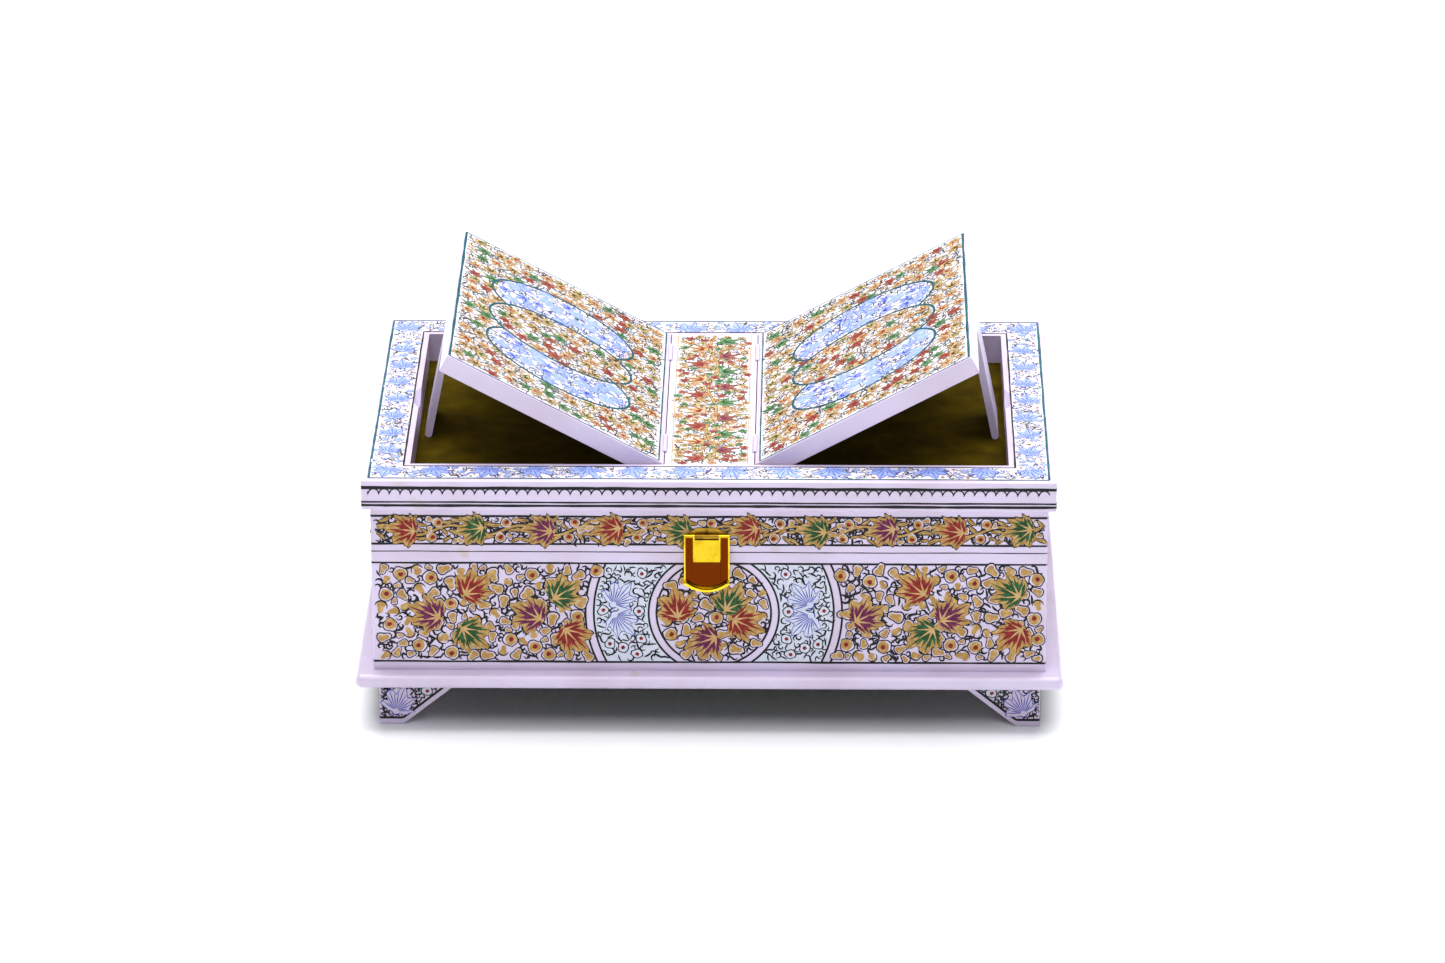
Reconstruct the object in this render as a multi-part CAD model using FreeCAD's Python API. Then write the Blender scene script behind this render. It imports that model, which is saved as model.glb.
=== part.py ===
import FreeCAD, Part
import math
import os

# Lacquered Quran box with a folding book rest in its lid.
# Millimetres.  +X is the reader's right, +Y the back, +Z up.
# The origin is on the floor under the middle of the base plate.

Vector = FreeCAD.Vector

# ---- overall sizes, outside the walls ----
box_width = 332.0            # along X
box_depth = 214.0            # along Y
foot_height = 23.5
plate_thick = 7.0            # base plate
box_height = 63.0            # walls of the lower box
band_height = 24.0           # walls of the lid

# ---- wooden walls and overhangs ----
wall_thick = 8.0
board_overhang = 4.0         # top frame past the lid walls
plate_overhang = 8.5         # base plate past the box walls
edge_round = 0.8             # lacquered outer edges
plate_round = 3.0            # soft edge of the base plate

# ---- bracket feet ----
foot_inset = 2.3             # foot faces behind the wall faces
foot_board = 7.0             # thickness of the foot boards
foot_toe = 12.0              # length that stands on the floor
foot_top = 41.0              # length under the base plate

# ---- top frame, tray and spine ----
stile_width = 23.0           # left and right of the tray
rail_width = 22.5            # front and back of the tray
spine_width = 44.0
tray_floor_thick = 4.0
velvet_thick = 1.0
lining_drop = 3.0            # wall velvet stops this far under the rim
notch_half = 13.0            # thumb notch, half its length
notch_reach = 4.0            # thumb notch, depth into the top and the side

# ---- book rest leaves ----
leaf_thick = 9.5
leaf_end_gap = 5.0           # outer end to stile when the leaf lies flat
leaf_side_gap = 0.5          # leaf to front and back rail
leaf_tilt = 28.4             # degrees, propped reading position
leaf_round = 0.6
fold_room = 1.4              # spare depth of the tray under a folded leaf and prop

# ---- props under the leaves ----
prop_thick = 3.6
prop_width = 36.0
prop_inset = 4.6             # prop hinge in from the leaf's outer end
prop_lean = 11.5             # degrees, foot further out than the hinge

# ---- small butt hinges for leaves and props ----
small_hinge_length = 22.0
small_hinge_reach = 7.5
small_plate_thick = 0.7
small_knuckle = 1.1          # radius
small_pin = 0.5              # radius
leaf_hinge_inset = 15.0      # hinge end to the leaf's front or back edge
axis_gap = 0.25              # pin axis to the wooden face beside it
slot_gap = 0.15              # prop hinge plate below the wood's face

# ---- lid hinges ----
lid_hinge_length = 38.0
lid_hinge_reach = 11.0
lid_plate_thick = 1.0
lid_knuckle = 1.75           # radius
lid_pin = 1.0                # radius
lid_hinge_inset = 49.0       # hinge end to the side of the box
screw_spacing = 24.0
screw_drop = 6.8             # screw line from the pin axis

# ---- latch ----
latch_shift = -1.0           # latch centre along X
sheet = 0.8                  # brass sheet
flap_width = 22.3
flap_drop = 28.0             # pin to the lowest point of the flap
flap_belly = 4.0             # height of the rounded end
latch_pin_rise = 9.8         # pin above the lid's lower edge
latch_knuckle = 1.3          # radius
latch_pin = 0.5              # radius
ear_length = 5.2
flange_depth = 2.3           # sides of the flap turned back
boss_width = 13.2
boss_proud = 3.5
boss_top = 1.7               # these three are measured down from the pin
boss_crease = 11.5
boss_foot = 23.0
rim_proud = 2.4              # turned-out rim round the end of the flap
rim_wide = 1.1
catch_width = 12.0
catch_height = 12.0
catch_proud = 1.9            # rounded bump that the flap grips

# ---- fasteners ----
nail_head = 1.0              # radius
nail_shank = 0.45            # radius
nail_length = 6.0
small_nail_head = 0.85       # radius, set flush
prop_nail_length = 2.8       # stays inside the thin prop
screw_head = 1.7             # radius
screw_shank = 0.9            # radius
screw_length = 6.5

# ---- running clearances ----
pin_clearance = 0.05         # radial, pin in a turning knuckle
knuckle_gap = 0.12           # along the pin, between knuckles
housing_gap = 0.15           # radial, round a knuckle let into wood
closing_gap = 0.4            # latch parts that pass each other

# ---- levels and half sizes worked out from the above ----
half_width = box_width / 2
half_depth = box_depth / 2
plate_base = foot_height
box_base = plate_base + plate_thick
split = box_base + box_height
board_base = split + band_height
board_thick = leaf_thick + prop_thick + fold_room + velvet_thick
top = board_base + board_thick
board_half_width = half_width + board_overhang
board_half_depth = half_depth + board_overhang
open_half_width = board_half_width - stile_width
open_half_depth = board_half_depth - rail_width
spine_half = spine_width / 2
inner_half_width = half_width - wall_thick
inner_half_depth = half_depth - wall_thick
velvet_top = board_base + velvet_thick
leaf_axis_x = spine_half + axis_gap
leaf_length = open_half_width - leaf_end_gap - leaf_axis_x
leaf_half_depth = open_half_depth - leaf_side_gap
leaf_hinge_place = leaf_half_depth - leaf_hinge_inset - small_hinge_length / 2
lid_hinge_place = half_width - lid_hinge_inset - lid_hinge_length / 2
fold_angle = 90.0 + prop_lean - leaf_tilt
prop_reach = leaf_length - prop_inset

os.makedirs("parts", exist_ok=True)


def box(x0, x1, y0, y1, z0, z1):
    """A box between two corners."""
    return Part.makeBox(x1 - x0, y1 - y0, z1 - z0, Vector(x0, y0, z0))


def rod(radius, start, end):
    """A round bar between two points."""
    along = end.sub(start)
    return Part.makeCylinder(radius, along.Length, start, along)


def prism(points, depth):
    """A closed outline of points pushed along a vector."""
    outline = Part.makePolygon(points + [points[0]])
    return Part.Face(outline).extrude(depth)


def flip_x(shape):
    """The same piece on the other side of the middle, left for right."""
    return shape.mirror(Vector(0, 0, 0), Vector(1, 0, 0))


def flip_y(shape):
    """The same piece on the other side of the middle, front for back."""
    return shape.mirror(Vector(0, 0, 0), Vector(0, 1, 0))


def rounded(shape, radius, chosen):
    """Round the edges whose middle point the test picks."""
    edges = [edge for edge in shape.Edges if chosen(edge.CenterOfMass)]
    return shape.makeFillet(radius, edges).Solids[0]


def carve(shape, tools):
    """One solid with the tools taken away."""
    return shape.cut(tools).Solids[0]


def join(shape, others):
    """One solid out of pieces that run into each other."""
    return shape.fuse(others).removeSplitter().Solids[0]


def near(value, target):
    return abs(value - target) < 1e-4


def save(name, *solids):
    """Write one node; several solids are loose pieces of the same kind."""
    shape = solids[0] if len(solids) == 1 else Part.makeCompound(list(solids))
    shape.exportStep("parts/" + name + ".step")


# ---------------------------------------------------------------- hinges

def knuckle_spans(length, count):
    """Start and end of each knuckle along a hinge pin."""
    pitch = length / count
    first = -length / 2
    return [(first + i * pitch + knuckle_gap / 2, first + (i + 1) * pitch - knuckle_gap / 2)
            for i in range(count)]


def barrel(radius, spans, grow=0.0):
    """Round knuckles on the Y axis."""
    return [rod(radius, Vector(0, a - grow, 0), Vector(0, b + grow, 0)) for a, b in spans]


def hinge_plate(length, reach, thick, gap, radius, bore, spans, others, nails=()):
    """Half a butt hinge, pin on the Y axis, hanging down on the -X side."""
    plate = box(-gap - thick, -gap, -length / 2, length / 2, -reach, 0)
    plate = carve(plate, barrel(radius + housing_gap, others, knuckle_gap))
    plate = join(plate, barrel(radius, spans))
    holes = [rod(bore, Vector(0, -length, 0), Vector(0, length, 0))]
    return carve(plate, holes + list(nails))


def hinge_slot(length, reach, thick, gap, radius):
    """The wood taken away for half a hinge and for the whole barrel."""
    half = length / 2 + knuckle_gap
    slot = box(-gap - thick, radius, -length / 2, length / 2, -reach, radius)
    housing = rod(radius + housing_gap, Vector(0, -half, 0), Vector(0, half, 0))
    return join(slot, [housing])


def flush_nail(length):
    """A small countersunk nail, driven towards -X with its flat head at x = 0."""
    head = Part.makeCone(small_nail_head, nail_shank, small_plate_thick, Vector(0, 0, 0), Vector(-1, 0, 0))
    shank = rod(nail_shank, Vector(0, 0, 0), Vector(-length, 0, 0))
    return join(head, [shank])


def domed(head, shank, length, rise):
    """A round-headed nail or screw, driven towards +Y with its head's seat at y = 0."""
    ball = (head * head + rise * rise) / (2 * rise)
    cap = Part.makeSphere(ball, Vector(0, ball - rise, 0))
    cap = cap.common(box(-head, head, -rise, 0, -head, head)).Solids[0]
    return join(cap, [rod(shank, Vector(0, -rise / 4, 0), Vector(0, length, 0))])


small_spans = knuckle_spans(small_hinge_length, 3)
outer_spans = small_spans[0::2]
middle_spans = small_spans[1::2]
small_nail_points = [(side * small_hinge_length / 3.6, -small_hinge_reach * 0.62) for side in (-1, 1)]


def small_nails(gap, length=nail_length):
    """The two nails of a small plate, in their places."""
    nails = []
    for y, z in small_nail_points:
        nail = flush_nail(length)
        nail.translate(Vector(-gap, y, z))
        nails.append(nail)
    return nails


def small_plate(spans, others, gap, bore):
    """Half of a small hinge with its two nail holes."""
    return hinge_plate(small_hinge_length, small_hinge_reach, small_plate_thick, gap,
                       small_knuckle, bore, spans, others, small_nails(gap))


def small_slot(gap):
    return hinge_slot(small_hinge_length, small_hinge_reach, small_plate_thick, gap, small_knuckle)


def small_pin_rod():
    half = small_hinge_length / 2
    return rod(small_pin, Vector(0, -half, 0), Vector(0, half, 0))


# ---------------------------------------------------------------- lower box

def foot_outline(along, x0, y0):
    """A bracket foot board: level toe, sloping underside, full length at the top."""
    def at(distance, height):
        return Vector(x0 + along.x * distance, y0 + along.y * distance, height)
    return [at(0, 0), at(foot_toe, 0), at(foot_top, foot_height), at(0, foot_height)]


def make_feet():
    face_x = half_width - foot_inset
    face_y = half_depth - foot_inset
    face = prism(foot_outline(Vector(-1, 0, 0), face_x, -face_y), Vector(0, foot_board, 0))
    face = rounded(face, edge_round, lambda m: near(m.y, -face_y) and m.z < foot_height - 0.1)
    side = prism(foot_outline(Vector(0, 1, 0), face_x, -face_y), Vector(-foot_board, 0, 0))
    side = rounded(side, edge_round, lambda m: near(m.x, face_x) and 0 <= m.z < foot_height - 0.1
                   and m.y > -face_y + 0.1)
    side = carve(side, [box(0, half_width, -half_depth, -face_y + foot_board, -1, foot_height + 1)])
    for name, board in (("foot_face", face), ("foot_side", side)):
        save("front_right_" + name, board)
        save("front_left_" + name, flip_x(board))
        save("back_right_" + name, flip_y(board))
        save("back_left_" + name, flip_x(flip_y(board)))


def make_base_plate():
    x = half_width + plate_overhang
    y = half_depth + plate_overhang
    plate = box(-x, x, -y, y, plate_base, box_base)
    save("base_plate", rounded(plate, plate_round, lambda m: True))


def lid_hinge_frame(shape):
    """Turn a hinge made on the Y axis so that its pin lies along the back of the split."""
    shape.rotate(Vector(0, 0, 0), Vector(0, 0, 1), 90)
    shape.translate(Vector(0, half_depth + lid_knuckle + housing_gap, split))
    return shape


def at_lid_hinges(shape):
    """Copies of a piece at the left and the right lid hinge."""
    copies = []
    for side in (-1, 1):
        copy = shape.copy()
        copy.translate(Vector(side * lid_hinge_place, 0, 0))
        copies.append(copy)
    return copies


def hinge_screws(level):
    """The screws of one row of lid hinge plates."""
    screws = []
    for side in (-1, 1):
        screw = domed(screw_head, screw_shank, screw_length, 0.9)
        screw.rotate(Vector(0, 0, 0), Vector(0, 0, 1), 180)
        x = side * screw_spacing / 2
        screw.translate(Vector(x, half_depth + lid_plate_thick, level))
        screws += at_lid_hinges(screw)
    return screws


def make_box_walls():
    holes = hinge_screws(split - screw_drop)
    front = box(-half_width, half_width, -half_depth, -inner_half_depth, box_base, split)
    front = rounded(front, edge_round, lambda m: near(abs(m.x), half_width) and near(m.y, -half_depth))
    save("box_front_wall", carve(front, catch_nails()))
    save("box_back_wall", carve(flip_y(front), holes))
    side = box(inner_half_width, half_width, -inner_half_depth, inner_half_depth, box_base, split)
    save("box_right_wall", side)
    save("box_left_wall", flip_x(side))


def make_compartment_velvet():
    x = inner_half_width
    y = inner_half_depth
    low = box_base + velvet_thick
    high = split - lining_drop
    save("compartment_velvet_floor", box(-x, x, -y, y, box_base, low))
    front = box(-x, x, -y, -y + velvet_thick, low, high)
    save("compartment_velvet_front", front)
    save("compartment_velvet_back", flip_y(front))
    side = box(x - velvet_thick, x, -y + velvet_thick, y - velvet_thick, low, high)
    save("compartment_velvet_right", side)
    save("compartment_velvet_left", flip_x(side))


# ---------------------------------------------------------------- lid

def make_lid_walls():
    front = box(-half_width, half_width, -half_depth, -inner_half_depth, split, board_base)
    front = rounded(front, edge_round, lambda m: near(abs(m.x), half_width) and near(m.y, -half_depth))
    save("lid_front_band", carve(front, latch_nails()))
    save("lid_back_band", carve(flip_y(front), hinge_screws(split + screw_drop)))
    side = box(inner_half_width, half_width, -inner_half_depth, inner_half_depth, split, board_base)
    save("lid_right_band", side)
    save("lid_left_band", flip_x(side))


def thumb_notch():
    """A ball that scoops the inner top edge of a stile."""
    offset = (notch_half ** 2 - notch_reach ** 2) / (2 * notch_reach)
    radius = math.sqrt(2 * offset ** 2 + notch_half ** 2)
    return Part.makeSphere(radius, Vector(open_half_width - offset, 0, top + offset))


def make_top_frame():
    x = board_half_width
    y = board_half_depth

    def outer(m):
        on_side = near(abs(m.x), x)
        on_front = near(m.y, -y)
        return on_side and (on_front or near(m.z, top) or near(m.z, board_base)) \
            or on_front and (near(m.z, top) or near(m.z, board_base))
    rail = rounded(box(-x, x, -y, -open_half_depth, board_base, top), edge_round, outer)
    save("top_front_rail", rail)
    save("top_back_rail", flip_y(rail))
    stile = box(open_half_width, x, -open_half_depth, open_half_depth, board_base, top)
    stile = rounded(stile, edge_round, lambda m: near(m.x, x) and near(m.y, 0))
    stile = carve(stile, [thumb_notch()])
    save("top_right_stile", stile)
    save("top_left_stile", flip_x(stile))


def at_leaf_hinges(shape):
    """Copies of a piece at the front and the back leaf hinge."""
    copies = []
    for side in (-1, 1):
        copy = shape.copy()
        copy.translate(Vector(leaf_axis_x, side * leaf_hinge_place, top))
        copies.append(copy)
    return copies


def both_sides(shapes):
    return shapes + [flip_x(shape) for shape in shapes]


def make_spine():
    spine = box(-spine_half, spine_half, -open_half_depth, open_half_depth, board_base, top)
    slots = both_sides(at_leaf_hinges(small_slot(axis_gap)))
    nails = both_sides([copy for nail in small_nails(axis_gap) for copy in at_leaf_hinges(nail)])
    plate = small_plate(outer_spans, middle_spans, axis_gap, small_pin)
    save("centre_spine", carve(spine, slots + nails))
    save("spine_hinge_plates", *both_sides(at_leaf_hinges(plate)))
    save("spine_hinge_pins", *both_sides(at_leaf_hinges(small_pin_rod())))
    save("spine_hinge_nails", *nails)


def make_tray():
    x = inner_half_width
    y = inner_half_depth
    floor = box(-x, x, -y, y, board_base - tray_floor_thick, board_base)
    velvet = box(spine_half, open_half_width, -open_half_depth, open_half_depth, board_base, velvet_top)
    save("tray_floor", floor)
    save("tray_velvet_right", velvet)
    save("tray_velvet_left", flip_x(velvet))


def make_lid_hinges():
    spans = knuckle_spans(lid_hinge_length, 5)
    outer, inner = spans[0::2], spans[1::2]
    gap = lid_knuckle + housing_gap - lid_plate_thick
    lower = lid_hinge_frame(hinge_plate(lid_hinge_length, lid_hinge_reach, lid_plate_thick, gap,
                                        lid_knuckle, lid_pin, outer, inner))
    upper = hinge_plate(lid_hinge_length, lid_hinge_reach, lid_plate_thick, gap,
                        lid_knuckle, lid_pin + pin_clearance, inner, outer)
    upper = upper.mirror(Vector(0, 0, 0), Vector(0, 0, 1))
    upper = lid_hinge_frame(upper)
    half = lid_hinge_length / 2
    pin = lid_hinge_frame(rod(lid_pin, Vector(0, -half, 0), Vector(0, half, 0)))
    low_screws = hinge_screws(split - screw_drop)
    high_screws = hinge_screws(split + screw_drop)
    save("lid_hinge_lower_plates", *[carve(plate, low_screws) for plate in at_lid_hinges(lower)])
    save("lid_hinge_upper_plates", *[carve(plate, high_screws) for plate in at_lid_hinges(upper)])
    save("lid_hinge_pins", *at_lid_hinges(pin))
    save("lid_hinge_lower_screws", *low_screws)
    save("lid_hinge_upper_screws", *high_screws)


# ---------------------------------------------------------------- leaves and props

def tilt_right(shape):
    """From flat beside the spine's pin axis to the propped place of the right leaf."""
    shape.rotate(Vector(0, 0, 0), Vector(0, 1, 0), -leaf_tilt)
    shape.translate(Vector(leaf_axis_x, 0, top))
    return shape


def along_leaf(shape, places):
    """Copies of a small hinge piece along Y."""
    copies = []
    for y in places:
        copy = shape.copy()
        copy.translate(Vector(0, y, 0))
        copies.append(copy)
    return copies


def on_prop_axis(shape):
    """A hinge piece made on the Y axis, laid into the leaf's underside at the prop hinge."""
    shape.rotate(Vector(0, 0, 0), Vector(0, 1, 0), 90)
    shape.translate(Vector(prop_reach, 0, -leaf_thick))
    return shape


def make_leaves():
    places = (-leaf_hinge_place, leaf_hinge_place)
    board = box(axis_gap, leaf_length, -leaf_half_depth, leaf_half_depth, -leaf_thick, 0)
    board = rounded(board, leaf_round, lambda m: m.x > axis_gap + 0.1)
    end_slots = along_leaf(flip_x(small_slot(axis_gap)), places)
    end_nails = [copy for nail in small_nails(axis_gap) for copy in along_leaf(flip_x(nail), places)]
    under_nails = [on_prop_axis(nail) for nail in small_nails(slot_gap)]
    nails = end_nails + under_nails
    board = carve(board, end_slots + [on_prop_axis(small_slot(slot_gap))] + nails)
    end_plate = flip_x(small_plate(middle_spans, outer_spans, axis_gap, small_pin + pin_clearance))
    under_plate = on_prop_axis(small_plate(outer_spans, middle_spans, slot_gap, small_pin))
    pin = on_prop_axis(small_pin_rod())
    pieces = {
        "leaf_board": [board],
        "leaf_hinge_plates": along_leaf(end_plate, places),
        "leaf_nails": nails,
        "prop_hinge_leaf_plate": [under_plate],
        "prop_hinge_pin": [pin],
    }
    for name, shapes in pieces.items():
        placed = [tilt_right(shape) for shape in shapes]
        save("right_" + name, *placed)
        save("left_" + name, *[flip_x(shape) for shape in placed])


def stand_right(shape):
    """From hanging at the origin to the propped place under the right leaf."""
    tilt = math.radians(leaf_tilt)
    x = leaf_axis_x + prop_reach * math.cos(tilt) + leaf_thick * math.sin(tilt)
    z = top + prop_reach * math.sin(tilt) - leaf_thick * math.cos(tilt)
    shape.rotate(Vector(0, 0, 0), Vector(0, 1, 0), -prop_lean)
    shape.translate(Vector(x, 0, z))
    return shape


def prop_length():
    """Hinge axis to foot, so that the rounded foot stands on the tray's velvet."""
    tilt = math.radians(leaf_tilt)
    lean = math.radians(prop_lean)
    heel = prop_thick / 2
    height = top - velvet_top + prop_reach * math.sin(tilt) - leaf_thick * math.cos(tilt)
    return heel + (height + heel * math.sin(lean) - heel) / math.cos(lean)


def make_props():
    heel = prop_thick / 2
    low = heel - prop_length()
    shoulder = prop_thick / math.tan(math.radians(fold_angle))
    half = prop_width / 2
    inner_top = Vector(0, -half, 0)
    outer_top = Vector(prop_thick, -half, shoulder)
    outer_low = Vector(prop_thick, -half, low)
    inner_low = Vector(0, -half, low)
    foot = Part.Arc(outer_low, Vector(heel, -half, low - heel), inner_low).toShape()
    outline = Part.Wire([Part.makeLine(inner_top, outer_top), Part.makeLine(outer_top, outer_low),
                         foot, Part.makeLine(inner_low, inner_top)])
    board = Part.Face(outline).extrude(Vector(0, prop_width, 0))
    nails = [flip_x(nail) for nail in small_nails(slot_gap, prop_nail_length)]
    slot = flip_x(small_slot(slot_gap))
    plate = flip_x(small_plate(middle_spans, outer_spans, slot_gap, small_pin + pin_clearance))
    pieces = {
        "prop_board": [carve(board, [slot] + nails)],
        "prop_hinge_plate": [plate],
        "prop_nails": nails,
    }
    for name, shapes in pieces.items():
        placed = [stand_right(shape) for shape in shapes]
        save("right_" + name, *placed)
        save("left_" + name, *[flip_x(shape) for shape in placed])


# ---------------------------------------------------------------- latch

latch_face = -half_depth                                   # front of the wooden walls
latch_axis_y = latch_face - sheet - latch_knuckle - 0.1
latch_axis_z = split + latch_pin_rise
flap_front = latch_axis_y - latch_knuckle
flap_back = flap_front + sheet
flap_half = flap_width / 2
ear_inner = flap_half - ear_length
knuckle_half = ear_inner - knuckle_gap


def latch_rod(radius, x0, x1):
    return rod(radius, Vector(x0 + latch_shift, latch_axis_y, latch_axis_z),
               Vector(x1 + latch_shift, latch_axis_y, latch_axis_z))


def side_view(points, half):
    """A prism across X whose outline is given as (y, z) pairs."""
    corners = [Vector(latch_shift - half, y, z) for y, z in points]
    return prism(corners, Vector(2 * half, 0, 0))


def flap_outline(inset, y, depth):
    """Straight sides and a rounded lower end, drawn as seen from the front."""
    half = flap_half - inset
    low = latch_axis_z - flap_drop + inset
    turn = low + flap_belly
    high = latch_axis_z
    left, right = latch_shift - half, latch_shift + half
    belly = Part.Arc(Vector(left, y, turn), Vector(latch_shift, y, low), Vector(right, y, turn)).toShape()
    outline = Part.Wire([Part.makeLine(Vector(right, y, turn), Vector(right, y, high)),
                         Part.makeLine(Vector(right, y, high), Vector(left, y, high)),
                         Part.makeLine(Vector(left, y, high), Vector(left, y, turn)), belly])
    return Part.Face(outline).extrude(Vector(0, depth, 0))


def boss_outline(shell, back):
    """The wedge-shaped boss from the side, or its hollow when a shell is taken off."""
    high = latch_axis_z - boss_top - 2 * shell
    crease = latch_axis_z - boss_crease
    low = latch_axis_z - boss_foot + shell
    proud = flap_front - boss_proud + shell
    return [(back, high), (flap_front, high), (proud, crease), (proud, low), (flap_front, low), (back, low)]


def make_latch_flap():
    plate = flap_outline(0, flap_front, sheet)
    rim = carve(flap_outline(0, flap_front - rim_proud, rim_proud),
                [flap_outline(rim_wide, flap_front - rim_proud - 1, rim_proud + 2),
                 box(-flap_width, flap_width, flap_front - rim_proud - 1, flap_front + 1,
                     latch_axis_z - flap_drop + flap_belly + 0.6, top)])
    boss = side_view(boss_outline(0, flap_front + sheet / 2), boss_width / 2)
    hollow = side_view(boss_outline(sheet, flap_back + 1), boss_width / 2 - sheet)
    flanges = [box(x, x + sheet, flap_back, flap_back + flange_depth,
                   latch_axis_z - flap_drop + flap_belly + 1, latch_axis_z - latch_knuckle - closing_gap)
               for x in (latch_shift - flap_half, latch_shift + flap_half - sheet)]
    ears = [latch_rod(latch_knuckle, -flap_half, -ear_inner),
            latch_rod(latch_knuckle, ear_inner, flap_half)]
    gap = latch_rod(latch_knuckle + housing_gap, -ear_inner, ear_inner)
    clear_top = box(latch_shift - ear_inner, latch_shift + ear_inner, flap_front - 1, flap_back + 1,
                    latch_axis_z - latch_knuckle - housing_gap, latch_axis_z + 2)
    flap = carve(join(plate, [rim, boss] + flanges), [hollow, gap, clear_top])
    bore = latch_rod(latch_pin + pin_clearance, -flap_width, flap_width)
    save("latch_flap", carve(join(flap, ears), [bore]))


def latch_nails():
    """Round-headed nails of the latch plate; the upper one shows above the flap."""
    nails = []
    for x, z in ((0, 2.4), (-6.5, -6.2), (6.5, -6.2)):
        nail = domed(nail_head, nail_shank, nail_length, 0.5)
        nail.translate(Vector(latch_shift + x, latch_face - sheet, latch_axis_z + z))
        nails.append(nail)
    return nails


def make_latch_plate():
    half = flap_half - sheet - closing_gap
    y = latch_face
    low = split + 1.2
    shoulder = latch_axis_z + 0.6
    high = latch_axis_z + 3.9
    corners = [(-half, low), (half, low), (half, shoulder), (half * 0.48, high),
               (-half * 0.48, high), (-half, shoulder)]
    plate = prism([Vector(latch_shift + x, y, z) for x, z in corners], Vector(0, -sheet, 0))
    knuckle = latch_rod(latch_knuckle, -knuckle_half, knuckle_half)
    web = box(latch_shift - knuckle_half, latch_shift + knuckle_half, latch_axis_y, y - sheet,
              latch_axis_z, latch_axis_z + latch_knuckle)
    bore = latch_rod(latch_pin, -flap_width, flap_width)
    save("latch_plate", carve(join(plate, [knuckle, web]), latch_nails() + [bore]))
    save("latch_pin", latch_rod(latch_pin, -flap_half, flap_half))
    save("latch_plate_nails", *latch_nails())


def catch_centre():
    return split - 3.0 - catch_height / 2


def catch_nails():
    nails = []
    for x in (-1, 1):
        nail = domed(nail_head, nail_shank, nail_length, 0.5)
        nail.translate(Vector(latch_shift + x * catch_width * 0.32, latch_face - sheet,
                              catch_centre() + catch_height * 0.32))
        nails.append(nail)
    return nails


def make_latch_catch():
    middle = catch_centre()
    half = catch_width / 2
    plate = box(latch_shift - half, latch_shift + half, latch_face - sheet, latch_face,
                middle - catch_height / 2, middle + catch_height / 2)
    plate = rounded(plate, 1.5, lambda m: near(m.y, latch_face - sheet / 2))
    level = middle - catch_height * 0.3
    reach = half * 0.6
    bump = rod(catch_proud, Vector(latch_shift - reach, latch_face, level),
               Vector(latch_shift + reach, latch_face, level))
    bump = carve(bump, [box(-half_width, half_width, latch_face, 0, 0, top)])
    save("latch_catch", carve(join(plate, [bump]), catch_nails()))
    save("latch_catch_nails", *catch_nails())


make_feet()
make_base_plate()
make_box_walls()
make_compartment_velvet()
make_lid_walls()
make_top_frame()
make_spine()
make_tray()
make_lid_hinges()
make_leaves()
make_props()
make_latch_flap()
make_latch_plate()
make_latch_catch()
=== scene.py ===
"""Looks of a painted and lacquered folding book stand on a velvet-lined box.

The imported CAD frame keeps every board, hinge and latch in place. This script dresses those parts,
lays the velvet, and adds the hand-painted decoration as thin relief brushed on each face.
Sizes are in millimetres unless a name ends in _m.
"""

import logging
import math
import random
from dataclasses import dataclass
from enum import Enum
from typing import Callable, Sequence

import bmesh
import bpy
from mathutils import Matrix, Vector, noise


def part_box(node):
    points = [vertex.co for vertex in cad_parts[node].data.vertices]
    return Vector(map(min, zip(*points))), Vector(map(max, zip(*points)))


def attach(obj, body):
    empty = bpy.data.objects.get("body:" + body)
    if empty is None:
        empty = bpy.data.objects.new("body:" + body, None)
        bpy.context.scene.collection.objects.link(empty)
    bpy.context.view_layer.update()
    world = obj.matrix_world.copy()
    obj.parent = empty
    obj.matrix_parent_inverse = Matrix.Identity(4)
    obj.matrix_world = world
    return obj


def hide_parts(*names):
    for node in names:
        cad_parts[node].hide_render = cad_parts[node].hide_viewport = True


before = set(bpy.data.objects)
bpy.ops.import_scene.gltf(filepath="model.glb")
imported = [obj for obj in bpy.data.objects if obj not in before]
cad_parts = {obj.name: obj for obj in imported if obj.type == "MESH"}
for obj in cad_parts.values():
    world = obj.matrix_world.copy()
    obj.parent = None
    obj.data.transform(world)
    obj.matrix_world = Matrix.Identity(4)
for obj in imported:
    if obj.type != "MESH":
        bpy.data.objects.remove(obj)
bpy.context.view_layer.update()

MM = 0.001
BURIED = 0.15  # how far the underside of a paint stroke sits in its board
HINGE_X = 22.25  # how far each leaf's hinge lies from the middle
LEAF_LENGTH = 119.75  # a book leaf's length out from its hinge
HAIR = 0.0021  # step in height from one press to another
HAIR_STEPS, HAIR_STRIDE = 13, 5  # heights repeat after 13 presses and are taken 5 steps apart
SHEET_VERTS = 2500  # a fuller sheet of paint is set aside, which keeps pressing fast
LOG = logging.getLogger("book_stand")

Path = Callable[[float], tuple[float, float]]
Reach = Callable[[float], float]
Strokes = Callable[[bmesh.types.BMesh], None]
Inside = Callable[[float, float], bool]
Area = tuple[float, float, float, float]


# ---------------------------------------------------------------- shader helpers


def linear(hex_colour: str) -> tuple[float, float, float, float]:
    """Turn an sRGB hex colour to linear light.

    Args:
        hex_colour: six hex digits.

    Returns:
        Red, green, blue and alpha in linear light.
    """
    parts = [int(hex_colour[i : i + 2], 16) / 255 for i in (0, 2, 4)]
    return (*[c / 12.92 if c <= 0.04045 else ((c + 0.055) / 1.055) ** 2.4 for c in parts], 1.0)


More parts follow.
